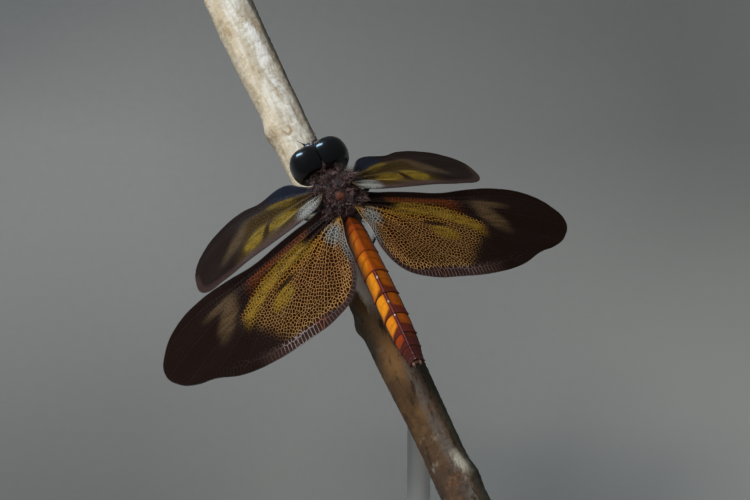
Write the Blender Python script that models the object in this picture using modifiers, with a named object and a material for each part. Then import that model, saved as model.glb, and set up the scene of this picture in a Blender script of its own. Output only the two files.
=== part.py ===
"""A perched blackwing dragonfly, life size, gripping a cut twig on a plain display stand.

The animal and its twig are modelled level, in the animal's own axes: +Y from tail to head,
+X to its right, +Z out of its back, from the point midway between the four wing roots.
One empty then tilts them into the perched pose above the stand, which stands at the origin.
"""

import math

import bmesh
import bpy
from mathutils import Matrix, Vector

MM = 0.001

# Pose of the animal above the stand.
PITCH = math.radians(15.8)  # head up
ROLL = math.radians(-10.9)  # right side up
GAP = 0.12 * MM  # clearance left between neighbouring pieces

# Perch: a cut twig under the body, in the animal's axes.
TWIG_RADIUS = 2.2 * MM
TWIG_X = -0.5 * MM
TWIG_Z = -9.7 * MM
TWIG_FRONT = 31.5 * MM
TWIG_REAR = -34.5 * MM
TWIG_STEP = 2.6 * MM
TWIG_SIDES = 16
# Bumps on the bark: place along the twig, angle from its top towards +X, height, half length.
TWIG_BUMPS = (
    (14.0 * MM, math.radians(-70), 0.55 * MM, 1.5 * MM),
    (16.5 * MM, math.radians(80), 0.40 * MM, 1.6 * MM),
    (-10.0 * MM, math.radians(-85), 0.50 * MM, 1.3 * MM),
    (-27.5 * MM, math.radians(60), 0.60 * MM, 1.9 * MM),
    (-23.0 * MM, math.radians(170), 0.45 * MM, 1.6 * MM),
)

# Stand.
ROD_RADIUS = 1.2 * MM
ROD_FLANGE_RADIUS = 2.6 * MM
ROD_FLANGE_HEIGHT = 1.2 * MM
ROD_TWIG_Y = -20.0 * MM  # where the rod meets the twig, along the animal
ROD_REACH = 35.0 * MM  # height of the twig's axis above the floor, at the rod
BASE_RADIUS = 16.0 * MM
BASE_HEIGHT = 3.5 * MM

# Thorax: a slanted barrel, its underside carried forward of its back, under a squarer deck
# that carries the wings.
THORAX_CENTRE = Vector((0, 0.3, -2.9)) * MM
THORAX_RADII = Vector((2.25, 2.75, 2.80)) * MM
THORAX_SLANT = -0.30
THORAX_SQUARENESS = 2.4
DECK_CENTRE = Vector((0, -0.3, -0.85)) * MM
DECK_RADII = Vector((2.05, 2.45, 1.20)) * MM
DECK_SQUARENESS = 3.0

# Head, from its pivot on the neck: two large eyes set on a narrower capsule with the face.
HEAD_PIVOT = Vector((0, 3.38, -2.15)) * MM
HEAD_YAW = math.radians(4.0)  # turned to its left
HEAD_CENTRE = Vector((0, 1.95, -0.6)) * MM
HEAD_RADII = Vector((1.35, 1.95, 2.0)) * MM
HEAD_SQUARENESS = 2.3
EYE_CENTRE = Vector((1.20, 1.85, 0.35)) * MM
EYE_RADII = Vector((1.88, 1.85, 2.1)) * MM
EYE_BACK = 0.40 * MM  # the flat back of the eyes, ahead of the pivot
# Centre and radii of each lobe of the face, from the brow down to the lower lip.
FACE_LOBES = {
    "brow": ((0, 3.15, 0.35), (1.15, 1.00, 0.85)),
    "muzzle": ((0, 3.20, -0.65), (1.10, 0.90, 0.95)),
    "upper_lip": ((0, 2.85, -1.65), (1.05, 0.90, 0.80)),
    "lower_lip": ((0, 1.95, -2.10), (1.10, 1.25, 0.62)),
}
NECK_CENTRE = Vector((0, 3.15, -2.2)) * MM
NECK_RADII = Vector((1.3, 1.0, 1.4)) * MM
ANTENNA_ROOT = Vector((0.42, 3.70, 0.75)) * MM
ANTENNA_REACH = Vector((0.60, 0.95, 0.05)) * MM
ANTENNA_RADIUS = 0.25 * MM

# Wings: root, droop below level, forward sweep and twist (leading edge up) of each.
WING_THICKNESS = 0.5 * MM
WING_LENGTH = 24.0 * MM  # root to tip of a hindwing; both outlines are in this unit
WING_ROOT_INSET = 0.03  # how far the outlines run into the thorax, which then trims them
WINGS = {
    "wing_fore_right": ("fore", 1, (1.45, 1.54, 0.0), 51.0, 26.9, -8.5),
    "wing_fore_left": ("fore", -1, (-1.43, 1.73, 0.0), 53.4, 30.1, -3.1),
    "wing_hind_right": ("hind", 1, (1.65, -1.53, 0.0), 32.9, -9.5, -6.8),
    "wing_hind_left": ("hind", -1, (-1.69, -1.76, 0.0), 30.2, -6.4, -1.3),
}
# Outlines: distance out along the wing and distance forward, from the front of the root,
# along the leading edge, round the tip and back along the trailing edge.
WING_OUTLINES = {
    "fore": (
        (-0.01, -0.004), (0.082, 0.018), (0.185, 0.060), (0.276, 0.099),
        (0.363, 0.112), (0.5, 0.093), (0.659, 0.104), (0.819, 0.077), (0.933, 0.02),
        (0.978, -0.049), (0.953, -0.133), (0.863, -0.211), (0.686, -0.208),
        (0.505, -0.179), (0.333, -0.161), (0.169, -0.142), (0.05, -0.122),
        (-WING_ROOT_INSET, -0.088), (-WING_ROOT_INSET, -0.04),
    ),
    "hind": (
        (-WING_ROOT_INSET, 0.017), (0.12, 0.048), (0.251, 0.056), (0.408, 0.059),
        (0.549, 0.085), (0.703, 0.101), (0.851, 0.083), (0.956, 0.025), (1.006, -0.05),
        (0.974, -0.131), (0.901, -0.188), (0.824, -0.219), (0.707, -0.291),
        (0.549, -0.342), (0.381, -0.368), (0.216, -0.378), (0.10, -0.347),
        (0.028, -0.252), (0.002, -0.13), (-0.018, -0.08), (-WING_ROOT_INSET, -0.04),
    ),
}

# Abdomen: ten rings on a line that droops behind the thorax, with a keel along the back.
ABDOMEN_START = Vector((0, -2.30, -1.25)) * MM
ABDOMEN_DROOP = math.radians(9.3)
ABDOMEN_ROLL = math.radians(5.0)
# Length, width and height of each ring, from the thorax to the tail.
ABDOMEN_RINGS = (
    (0.95, 1.95, 2.15), (0.65, 2.10, 2.35), (2.38, 2.25, 2.40), (2.25, 2.42, 2.25),
    (2.52, 2.56, 2.20), (2.35, 2.58, 2.10), (2.15, 2.48, 2.00), (1.45, 2.22, 1.85),
    (0.95, 1.85, 1.60), (0.55, 1.40, 1.20),
)
RING_NECK = 0.93  # front rim of a ring, as a share of its rear rim
THORAX_OVERHANG = 1.5 * MM  # rings that start nearer than this are trimmed by the thorax
# Right half of a ring's section, in half widths and heights: keel, flank, side edge, belly.
RING_SECTION = (
    (0, 0.56), (0.30, 0.43), (0.64, 0.22), (0.90, -0.03), (1.0, -0.22), (0.84, -0.37), (0.40, -0.44),
)
CERCUS_LENGTH = 0.50 * MM
CERCUS_RADIUS = 0.25 * MM

# Legs: hip, knee, then ankle and toe as angles round the twig and places along it.
FEMUR_RADIUS = 0.33 * MM
FOOT_RADIUS = 0.25 * MM
LEGS = {
    "front": ((0.70, 2.6, -4.4), (2.45, 4.5, -5.6), 42, 5.3, 66, 6.1),
    "middle": ((0.95, 1.7, -4.6), (3.75, 2.0, -5.4), 52, 2.2, 84, 2.9),
    "hind": ((0.95, 0.7, -4.6), (3.55, -2.3, -5.2), 48, -3.2, 74, -4.1),
}

EYE_BLACK = ((0.012, 0.013, 0.016), 0.12, 0.0)
HEAD_BROWN = ((0.05, 0.03, 0.028), 0.4, 0.0)
THORAX_BROWN = ((0.09, 0.055, 0.045), 0.6, 0.0)
LEG_BLACK = ((0.02, 0.016, 0.015), 0.35, 0.0)
WING_BROWN = ((0.10, 0.055, 0.025), 0.35, 0.0)
RING_ORANGE = ((0.62, 0.20, 0.03), 0.35, 0.0)
TAIL_PURPLE = ((0.22, 0.06, 0.06), 0.35, 0.0)
BARK = ((0.42, 0.36, 0.27), 0.85, 0.0)
STEEL = ((0.60, 0.60, 0.60), 0.3, 1.0)
STAND_GREY = ((0.62, 0.62, 0.60), 0.5, 0.0)


def clear_scene():
    for obj in list(bpy.data.objects):
        bpy.data.objects.remove(obj, do_unlink=True)


def new_collection(name):
    collection = bpy.data.collections.new(name)
    bpy.context.scene.collection.children.link(collection)
    return collection


def finish_material(name, finish):
    colour, roughness, metallic = finish
    material = bpy.data.materials.new(name)
    material.use_nodes = True
    shader = material.node_tree.nodes["Principled BSDF"]
    shader.inputs["Base Color"].default_value = (*colour, 1)
    shader.inputs["Roughness"].default_value = roughness
    shader.inputs["Metallic"].default_value = metallic
    return material


def add_piece(name, mesh, collection, finish=None, parent=None):
    """Links an object for this mesh, shaded smooth, with its own material."""
    mesh.shade_smooth()
    mesh.set_sharp_from_angle(angle=math.radians(40))
    piece = bpy.data.objects.new(name, mesh)
    collection.objects.link(piece)
    piece.parent = parent
    if finish:
        mesh.materials.append(finish_material(name, finish))
    return piece


def mesh_from(bm, name):
    mesh = bpy.data.meshes.new(name)
    bmesh.ops.recalc_face_normals(bm, faces=bm.faces)
    bm.to_mesh(mesh)
    bm.free()
    return mesh


def egg(bm, centre, radii, squareness=2.0, slant=0.0, grow=0.0, rings=12, segments=20):
    """Adds a ball of these radii to bm, squared off above 2 and slanted along Y with height."""
    ball = bmesh.ops.create_uvsphere(bm, u_segments=segments, v_segments=rings, radius=1)
    for vert in ball["verts"]:
        stretch = sum(abs(value) ** squareness for value in vert.co) ** (-1 / squareness)
        unit = vert.co * stretch
        size = radii + Vector((grow, grow, grow))
        vert.co = Vector(unit[i] * size[i] for i in range(3)) + centre
        vert.co.y += slant * (vert.co.z - centre.z)


def loft(name, sections):
    """Closed mesh through rings of points that match one to one, with flat ends."""
    bm = bmesh.new()
    rings = [[bm.verts.new(point) for point in section] for section in sections]
    for near, far in zip(rings, rings[1:]):
        for i in range(len(near)):
            j = (i + 1) % len(near)
            bm.faces.new((near[i], near[j], far[j], far[i]))
    bm.faces.new(rings[0])
    bm.faces.new(rings[-1])
    return mesh_from(bm, name)


def tube(name, points, radii, collection, sides_level=1):
    """Mesh of a capped tube through these points, made from a poly curve."""
    curve = bpy.data.curves.new(name, "CURVE")
    curve.dimensions = "3D"
    curve.bevel_depth = 1.0
    curve.bevel_resolution = sides_level
    curve.use_fill_caps = True
    spline = curve.splines.new("POLY")
    spline.points.add(len(points) - 1)
    for target, point, radius in zip(spline.points, points, radii):
        target.co = (*point, 1)
        target.radius = radius
    guide = bpy.data.objects.new(name + "_guide", curve)
    collection.objects.link(guide)
    graph = bpy.context.evaluated_depsgraph_get()
    mesh = bpy.data.meshes.new_from_object(guide.evaluated_get(graph))
    bpy.data.objects.remove(guide)
    bm = bmesh.new()
    bm.from_mesh(mesh)
    bmesh.ops.remove_doubles(bm, verts=bm.verts, dist=1e-6)
    bpy.data.meshes.remove(mesh)
    return mesh_from(bm, name)


def cutter(name, mesh, collection, parent=None):
    piece = add_piece(name, mesh, collection, parent=parent)
    piece.hide_render = True
    piece.display_type = "WIRE"
    return piece


def boolean(piece, other, operation):
    modifier = piece.modifiers.new(other.name, "BOOLEAN")
    modifier.operation = operation
    modifier.object = other
    modifier.solver = "EXACT"


def trim(piece, rooms):
    """Cuts from a piece the room that its neighbours need."""
    for room in rooms:
        boolean(piece, room, "DIFFERENCE")


def barrel_mesh(grow=0.0):
    bm = bmesh.new()
    egg(bm, THORAX_CENTRE, THORAX_RADII, THORAX_SQUARENESS, THORAX_SLANT, grow, 16, 24)
    return mesh_from(bm, "thorax")


def deck_mesh(grow=0.0):
    bm = bmesh.new()
    egg(bm, DECK_CENTRE, DECK_RADII, DECK_SQUARENESS, 0.0, grow, 12, 24)
    return mesh_from(bm, "wing_deck")


def capsule_mesh(grow=0.0):
    bm = bmesh.new()
    egg(bm, HEAD_CENTRE, HEAD_RADII, HEAD_SQUARENESS, 0.0, grow, 14, 20)
    return mesh_from(bm, "head")


def egg_mesh(name, centre, radii, grow=0.0, rings=12, segments=18):
    bm = bmesh.new()
    egg(bm, centre, radii, grow=grow, rings=rings, segments=segments)
    return mesh_from(bm, name)


def slice_flat(bm, point, outward):
    """Cuts off what lies beyond this plane and closes the cut."""
    bmesh.ops.bisect_plane(
        bm,
        geom=bm.verts[:] + bm.edges[:] + bm.faces[:],
        dist=1e-7,
        plane_co=point,
        plane_no=outward,
        clear_outer=True,
    )
    rim = [edge for edge in bm.edges if edge.is_boundary]
    bmesh.ops.contextual_create(bm, geom=rim)


def eye_mesh(side, grow=0.0):
    """One eye, cut flat beside the middle of the head and at the back."""
    centre = Vector((side * EYE_CENTRE.x, EYE_CENTRE.y, EYE_CENTRE.z))
    bm = bmesh.new()
    egg(bm, centre, EYE_RADII, grow=grow, rings=16, segments=24)
    slice_flat(bm, (side * (GAP / 2 - grow), 0, 0), (-side, 0, 0))
    slice_flat(bm, (0, EYE_BACK - grow, 0), (0, -1, 0))
    return mesh_from(bm, "eye")


def build_thorax(parts, cutters, body):
    """The thorax, and the slightly larger copies that trim what meets it."""
    thorax = add_piece("thorax", barrel_mesh(), parts, THORAX_BROWN, body)
    boolean(thorax, cutter("wing_deck", deck_mesh(), cutters, body), "UNION")
    return [
        cutter("barrel_room", barrel_mesh(GAP), cutters, body),
        cutter("deck_room", deck_mesh(GAP), cutters, body),
    ]


def build_head(parts, cutters, body, thorax_rooms):
    """Head capsule with its face, two eyes, two antennae and the neck."""
    turn = bpy.data.objects.new("head_turn", None)
    parts.objects.link(turn)
    turn.parent = body
    turn.location = HEAD_PIVOT
    turn.rotation_euler.z = HEAD_YAW
    head = add_piece("head", capsule_mesh(), parts, HEAD_BROWN, turn)
    head_rooms = [cutter("capsule_room", capsule_mesh(GAP), cutters, turn)]
    for name, (centre, radii) in FACE_LOBES.items():
        centre, radii = Vector(centre) * MM, Vector(radii) * MM
        lobe = cutter(name, egg_mesh(name, centre, radii), cutters, turn)
        boolean(head, lobe, "UNION")
        room = egg_mesh(name + "_room", centre, radii, GAP)
        head_rooms.append(cutter(name + "_room", room, cutters, turn))
    neck_mesh = egg_mesh("neck", NECK_CENTRE, NECK_RADII)
    neck = add_piece("neck", neck_mesh, parts, THORAX_BROWN, body)
    trim(neck, [*thorax_rooms, head_rooms[0]])
    for side, word in ((1, "right"), (-1, "left")):
        eye = add_piece("eye_" + word, eye_mesh(side), parts, EYE_BLACK, turn)
        eye_room = cutter("eye_room_" + word, eye_mesh(side, GAP), cutters, turn)
        trim(neck, [eye_room])
        root = Vector((side * ANTENNA_ROOT.x, ANTENNA_ROOT.y, ANTENNA_ROOT.z))
        reach = Vector((side * ANTENNA_REACH.x, ANTENNA_REACH.y, ANTENNA_REACH.z))
        points = [root + reach * share for share in (0, 0.3, 0.65, 1)]
        feeler = tube("antenna_" + word, points, [ANTENNA_RADIUS] * 4, cutters)
        antenna = add_piece("antenna_" + word, feeler, parts, LEG_BLACK, turn)
        trim(eye, head_rooms)
        trim(antenna, [*head_rooms, eye_room])


def wing_mesh(name, outline, side, collection):
    """Flat plate of a wing's outline, its root at the origin and its tip towards side * X."""
    curve = bpy.data.curves.new(name, "CURVE")
    curve.dimensions = "2D"
    curve.fill_mode = "BOTH"
    curve.extrude = WING_THICKNESS / 2
    curve.resolution_u = 4
    spline = curve.splines.new("BEZIER")
    spline.use_cyclic_u = True
    spline.bezier_points.add(len(outline) - 1)
    for target, (out, forward) in zip(spline.bezier_points, outline):
        target.co = Vector((side * out, forward, 0)) * WING_LENGTH
        target.handle_left_type = "AUTO"
        target.handle_right_type = "AUTO"
    guide = bpy.data.objects.new(name + "_guide", curve)
    collection.objects.link(guide)
    graph = bpy.context.evaluated_depsgraph_get()
    mesh = bpy.data.meshes.new_from_object(guide.evaluated_get(graph))
    bpy.data.objects.remove(guide)
    bm = bmesh.new()
    bm.from_mesh(mesh)
    bmesh.ops.remove_doubles(bm, verts=bm.verts, dist=1e-6)
    bpy.data.meshes.remove(mesh)
    return mesh_from(bm, name)


def build_wings(parts, cutters, body, thorax_rooms):
    for name, (kind, side, root, droop, sweep, twist) in WINGS.items():
        mesh = wing_mesh(name, WING_OUTLINES[kind], side, cutters)
        wing = add_piece(name, mesh, parts, WING_BROWN, body)
        wing.location = Vector(root) * MM
        wing.rotation_euler = (
            math.radians(twist),
            side * math.radians(droop),
            side * math.radians(sweep),
        )
        trim(wing, thorax_rooms)


def ring_points(width, height, y):
    """Points of a ring's section at this place along the abdomen."""
    half = [(x * width / 2, z * height) for x, z in RING_SECTION]
    mirrored = [(-x, z) for x, z in reversed(half[1:])]
    return [Vector((x, y, z)) for x, z in half + mirrored]


def ring_mesh(name, length, width, height, next_width, next_height):
    """One abdomen ring: narrow front rim, full middle, and a rim that covers the next ring."""
    last = length - GAP
    stations = (
        (0.0, width * RING_NECK, height * RING_NECK),
        (0.18 * length, width, height),
        (0.62 * length, 0.5 * width + 0.5 * next_width, 0.5 * height + 0.5 * next_height),
        (last, next_width, next_height),
    )
    return loft(name, [ring_points(w, h, -y) for y, w, h in stations])


def build_abdomen(parts, cutters, body, thorax_rooms):
    """Ten rings and the two cerci at the tail, all on one drooping, slightly rolled line."""
    line = bpy.data.objects.new("abdomen_line", None)
    parts.objects.link(line)
    line.parent = body
    line.location = ABDOMEN_START
    line.rotation_euler = (ABDOMEN_DROOP, -ABDOMEN_ROLL, 0)
    place = 0.0
    for number, ring in enumerate(ABDOMEN_RINGS, start=1):
        length, width, height = (value * MM for value in ring)
        following = ABDOMEN_RINGS[min(number, len(ABDOMEN_RINGS) - 1)]
        name = f"abdomen_ring_{number}"
        finish = TAIL_PURPLE if number > 7 else RING_ORANGE
        mesh = ring_mesh(name, length, width, height, following[1] * MM, following[2] * MM)
        piece = add_piece(name, mesh, parts, finish, line)
        piece.location.y = -place
        if place < THORAX_OVERHANG:
            trim(piece, thorax_rooms)
        place += length
    for side, word in ((1, "right"), (-1, "left")):
        root = Vector((side * 0.30 * MM, -place - GAP, 0.10 * MM))
        tip = root + Vector((side * 0.10 * MM, -CERCUS_LENGTH, 0))
        mesh = tube("cercus_" + word, [root, tip], [CERCUS_RADIUS, CERCUS_RADIUS], cutters)
        add_piece("cercus_" + word, mesh, parts, TAIL_PURPLE, line)


def twig_radius(place, angle):
    """Radius of the bark at a place along the twig and an angle from its top."""
    wave = 0.03 * math.sin(2 * angle + 0.17 * place / MM) + 0.02 * math.sin(0.31 * place / MM)
    radius = TWIG_RADIUS * (1 + wave)
    for centre, turn, height, reach in TWIG_BUMPS:
        near = math.exp(-(((place - centre) / reach) ** 2))
        facing = max(0.0, math.cos(angle - turn)) ** 3
        radius += height * near * facing
    return radius


def twig_mesh(grow=0.0):
    steps = round((TWIG_FRONT - TWIG_REAR) / TWIG_STEP)
    sections = []
    for i in range(steps + 1):
        place = TWIG_REAR + (TWIG_FRONT - TWIG_REAR) * i / steps
        section = []
        for j in range(TWIG_SIDES):
            angle = 2 * math.pi * j / TWIG_SIDES
            reach = twig_radius(place, angle) + grow
            section.append(
                Vector((TWIG_X + reach * math.sin(angle), place, TWIG_Z + reach * math.cos(angle)))
            )
        sections.append(section)
    return loft("perch_twig", sections)


def on_twig(side, degrees, place, height):
    """Point at this height over the bark, on the side of the twig that the leg is on."""
    angle = side * math.radians(degrees)
    reach = twig_radius(place, angle) + height
    return Vector((TWIG_X + reach * math.sin(angle), place, TWIG_Z + reach * math.cos(angle)))


def build_legs(parts, cutters, body, thorax_rooms):
    for pair, (hip, knee, ankle_angle, ankle_y, toe_angle, toe_y) in LEGS.items():
        for side, word in ((1, "right"), (-1, "left")):
            name = f"leg_{pair}_{word}"
            hip_point = Vector((side * hip[0], hip[1], hip[2])) * MM
            knee_point = Vector((side * knee[0], knee[1], knee[2])) * MM
            knee_point.x += TWIG_X * 0.5
            lift = FOOT_RADIUS + 2 * GAP
            ankle = on_twig(side, ankle_angle, ankle_y * MM, lift)
            toe = on_twig(side, toe_angle, toe_y * MM, lift)
            mid = on_twig(side, 0.5 * (ankle_angle + toe_angle), 0.5 * (ankle_y + toe_y) * MM, lift)
            thigh = hip_point.lerp(knee_point, 0.6)
            shin = knee_point.lerp(ankle, 0.15)
            points = [hip_point, thigh, knee_point, shin, ankle, mid, toe]
            radii = [FEMUR_RADIUS, FEMUR_RADIUS, FEMUR_RADIUS] + [FOOT_RADIUS] * 4
            mesh = tube(name, points, radii, cutters, 2)
            leg = add_piece(name, mesh, parts, LEG_BLACK, body)
            trim(leg, thorax_rooms)


def build_perch_and_stand(parts, cutters, body):
    add_piece("perch_twig", twig_mesh(), parts, BARK, body)
    twig_room = cutter("twig_room", twig_mesh(GAP), cutters, body)
    profile = (
        (0.0, ROD_REACH),
        (ROD_RADIUS, ROD_REACH),
        (ROD_RADIUS, BASE_HEIGHT + GAP + ROD_FLANGE_HEIGHT),
        (ROD_FLANGE_RADIUS, BASE_HEIGHT + GAP + ROD_FLANGE_HEIGHT),
        (ROD_FLANGE_RADIUS, BASE_HEIGHT + GAP),
        (0.0, BASE_HEIGHT + GAP),
    )
    bm = bmesh.new()
    verts = [bm.verts.new((x, 0, z)) for x, z in profile]
    for near, far in zip(verts, verts[1:]):
        bm.edges.new((near, far))
    mesh = bpy.data.meshes.new("stand_rod")
    bm.to_mesh(mesh)
    bm.free()
    rod = add_piece("stand_rod", mesh, parts, STEEL)
    screw = rod.modifiers.new("turn", "SCREW")
    screw.steps = 20
    screw.render_steps = 20
    screw.use_merge_vertices = True
    screw.merge_threshold = 1e-5
    trim(rod, [twig_room])

    bm = bmesh.new()
    bmesh.ops.create_cone(
        bm,
        cap_ends=True,
        segments=48,
        radius1=BASE_RADIUS,
        radius2=BASE_RADIUS,
        depth=BASE_HEIGHT,
        matrix=Matrix.Translation((0, 0, BASE_HEIGHT / 2)),
    )
    base = add_piece("stand_base", mesh_from(bm, "stand_base"), parts, STAND_GREY)
    bevel = base.modifiers.new("edge", "BEVEL")
    bevel.width = 0.6 * MM
    bevel.segments = 2
    bevel.limit_method = "ANGLE"


def pose_body(body):
    """Tilts the animal and its twig so that the twig's axis passes over the rod."""
    turn = Matrix.Rotation(PITCH, 4, "X") @ Matrix.Rotation(ROLL, 4, "Y")
    over_rod = turn @ Vector((TWIG_X, ROD_TWIG_Y, TWIG_Z))
    body.matrix_world = Matrix.Translation(Vector((0, 0, ROD_REACH)) - over_rod) @ turn


def main():
    clear_scene()
    parts = new_collection("perched_dragonfly")
    cutters = new_collection("cutters")
    body = bpy.data.objects.new("perched_pose", None)
    parts.objects.link(body)
    thorax_rooms = build_thorax(parts, cutters, body)
    build_head(parts, cutters, body, thorax_rooms)
    build_wings(parts, cutters, body, thorax_rooms)
    build_abdomen(parts, cutters, body, thorax_rooms)
    build_legs(parts, cutters, body, thorax_rooms)
    build_perch_and_stand(parts, cutters, body)
    pose_body(body)


main()
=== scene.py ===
"""Looks of the perched blackwing dragonfly: shell, wings, hair, twig and stand.

Shapes are made in millimetres in the animal's own axes (+Y from tail to head, +X to its right,
+Z out of its back, from the middle of the four wing roots) and then placed in the world.
"""

import math

import bmesh
import bpy
import numpy as np
from mathutils import Euler, Matrix, Vector, geometry, noise


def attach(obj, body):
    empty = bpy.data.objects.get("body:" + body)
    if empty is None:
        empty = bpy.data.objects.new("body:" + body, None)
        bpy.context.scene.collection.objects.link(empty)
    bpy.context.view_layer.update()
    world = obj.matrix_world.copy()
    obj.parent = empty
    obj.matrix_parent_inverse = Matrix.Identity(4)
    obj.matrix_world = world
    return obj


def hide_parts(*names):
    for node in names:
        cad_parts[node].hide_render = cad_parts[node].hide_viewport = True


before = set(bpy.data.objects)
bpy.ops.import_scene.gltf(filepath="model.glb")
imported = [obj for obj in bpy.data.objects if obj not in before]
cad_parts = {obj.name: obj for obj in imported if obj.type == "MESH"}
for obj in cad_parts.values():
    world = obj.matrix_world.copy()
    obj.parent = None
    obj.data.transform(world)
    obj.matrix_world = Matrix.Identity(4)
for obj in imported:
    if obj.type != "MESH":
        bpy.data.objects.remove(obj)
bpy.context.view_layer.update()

SEED = 4
SIDES = ((1, "right"), (-1, "left"))
TO_METRES = Matrix.Scale(0.001, 4)

# Pose above the stand, as the solids have it.
PITCH, ROLL = 15.8, -10.9
TWIG_RADIUS = 2.2
TWIG_X, TWIG_Z = -0.5, -9.7
TWIG_FRONT, TWIG_REAR = 31.5, -34.5
ROD_TWIG_Y = -20.0
ROD_REACH = 35.0

# Head, from its pivot on the neck.
HEAD_PIVOT = (0, 3.38, -2.15)
HEAD_YAW = 4.0
EYE_CENTRE = (1.14, 1.85, 0.35)
EYE_RADII = (1.94, 1.88, 2.1)
EYE_SEAM = 0.03  # half the gap between the eyes
EYE_BACK = 0.42  # plane that cuts off the eyes' back
HEAD_VOXEL, THORAX_VOXEL = 0.075, 0.085  # fineness of the moulded skins
HEAD_HAIRS, THORAX_HAIRS = 900, 1250
HAIR_SUNK = 0.03  # how deep a hair's root is set in the skin

# Wings: kind, side, root, droop, sweep and twist, and outlines in wing lengths.
WING_LENGTH = 24.0
WINGS = {
    "wing_fore_right": ("fore", 1, (1.45, 1.54, 0.0), 51.0, 26.9, -8.5),
    "wing_fore_left": ("fore", -1, (-1.43, 1.73, 0.0), 53.4, 30.1, -3.1),
    "wing_hind_right": ("hind", 1, (1.65, -1.53, 0.0), 32.9, -9.5, -6.8),
    "wing_hind_left": ("hind", -1, (-1.69, -1.76, 0.0), 30.2, -6.4, -1.3),
}
OUTLINES = {
    "fore": (
        (-0.01, -0.004), (0.082, 0.018), (0.185, 0.060), (0.276, 0.099),
        (0.363, 0.112), (0.5, 0.093), (0.659, 0.104), (0.819, 0.077), (0.933, 0.02),
        (0.978, -0.049), (0.953, -0.133), (0.863, -0.211), (0.686, -0.208),
        (0.505, -0.179), (0.333, -0.161), (0.169, -0.142), (0.05, -0.122),
        (-0.03, -0.088), (-0.03, -0.04),
    ),
    "hind": (
        (-0.03, 0.017), (0.12, 0.048), (0.251, 0.056), (0.408, 0.059),
        (0.549, 0.085), (0.703, 0.101), (0.851, 0.083), (0.956, 0.025), (1.006, -0.05),
        (0.974, -0.131), (0.901, -0.188), (0.824, -0.219), (0.707, -0.291),
        (0.549, -0.342), (0.381, -0.368), (0.216, -0.378), (0.10, -0.347),
        (0.028, -0.252), (0.002, -0.13), (-0.018, -0.08), (-0.03, -0.04),
    ),
}
# Main veins from the radius back to the last anal vein: points from the root to the margin.
VEINS = {
    "fore": (
        (
            (-0.02, -0.010), (0.10, 0.006), (0.25, 0.038), (0.40, 0.062),
            (0.62, 0.068), (0.82, 0.043), (0.96, -0.02),
        ),
        ((-0.02, -0.016), (0.15, 0.000), (0.35, 0.018), (0.60, 0.020), (0.80, -0.002), (0.975, -0.08)),
        (
            (-0.02, -0.022), (0.15, -0.020), (0.35, -0.022), (0.60, -0.038),
            (0.80, -0.085), (0.94, -0.15),
        ),
        (
            (-0.02, -0.030), (0.15, -0.036), (0.35, -0.052), (0.55, -0.090),
            (0.72, -0.155), (0.83, -0.213),
        ),
        (
            (-0.02, -0.040), (0.12, -0.050), (0.28, -0.076), (0.45, -0.125),
            (0.58, -0.172), (0.66, -0.207),
        ),
        ((-0.02, -0.050), (0.10, -0.066), (0.22, -0.096), (0.34, -0.140), (0.42, -0.170)),
        ((-0.02, -0.060), (0.07, -0.085), (0.14, -0.115), (0.20, -0.146)),
    ),
    "hind": (
        (
            (-0.02, 0.004), (0.15, 0.022), (0.35, 0.030), (0.55, 0.046),
            (0.75, 0.060), (0.90, 0.035), (0.99, -0.015),
        ),
        ((-0.02, -0.002), (0.15, 0.000), (0.35, 0.000), (0.55, -0.010), (0.80, -0.035), (1.0, -0.075)),
        (
            (-0.02, -0.008), (0.15, -0.016), (0.35, -0.030), (0.55, -0.065),
            (0.78, -0.118), (0.95, -0.158),
        ),
        (
            (-0.02, -0.014), (0.13, -0.030), (0.30, -0.060), (0.50, -0.112),
            (0.68, -0.170), (0.83, -0.217),
        ),
        (
            (-0.02, -0.020), (0.10, -0.036), (0.25, -0.080), (0.40, -0.130),
            (0.56, -0.205), (0.71, -0.290),
        ),
        (
            (-0.02, -0.026), (0.08, -0.044), (0.18, -0.090), (0.32, -0.165),
            (0.46, -0.255), (0.58, -0.334),
        ),
        (
            (-0.02, -0.032), (0.07, -0.056), (0.15, -0.110), (0.26, -0.200),
            (0.36, -0.290), (0.44, -0.361),
        ),
        (
            (-0.02, -0.038), (0.05, -0.068), (0.11, -0.130), (0.18, -0.220),
            (0.24, -0.310), (0.29, -0.377),
        ),
        (
            (-0.02, -0.044), (0.03, -0.080), (0.07, -0.150), (0.10, -0.230),
            (0.13, -0.300), (0.15, -0.366),
        ),
    ),
}
FRONT_END = {"fore": (0.925, 0.026), "hind": (0.956, 0.025)}  # where the front margin becomes the tip
INNER_END = {"fore": (0.05, -0.122), "hind": (0.05, -0.29)}  # where the inner margin ends at the rear
CELL_PITCH = {"fore": 0.35, "hind": 0.37}  # cell spacing near the root
OUTER_PITCH = 0.44  # cell spacing in the dark outer part
COSTA_PITCH = 0.34  # spacing of the cross veins along the front margin
RIM_CELL = 1.6  # depth of the long cells along the rear margin
TIP_CELL = 0.35  # depth of the last cells along the front margin and the tip
RIM_PITCH = 0.42  # width of the cells along the margin
RIM_MIRROR = 1.6  # cells this near the margin are mirrored in it, so that their borders reach it
CELL_VEIN = 0.045  # radius of the fine veins
SHORTEST_VEIN, LONGEST_VEIN = 0.02, 2.0  # fine veins outside these lengths are left out
MEMBRANE = 0.05  # thickness of the membranes
PLEAT, CAMBER = 0.10, 0.10  # height of the pleats between the main veins, and of the camber
MARGIN_STEPS, VEIN_STEPS = 600, 80  # points along a whole margin, and along a main vein
STRONG_VEINS = 4  # the first main veins after the front margin, which are thicker at the root

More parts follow.
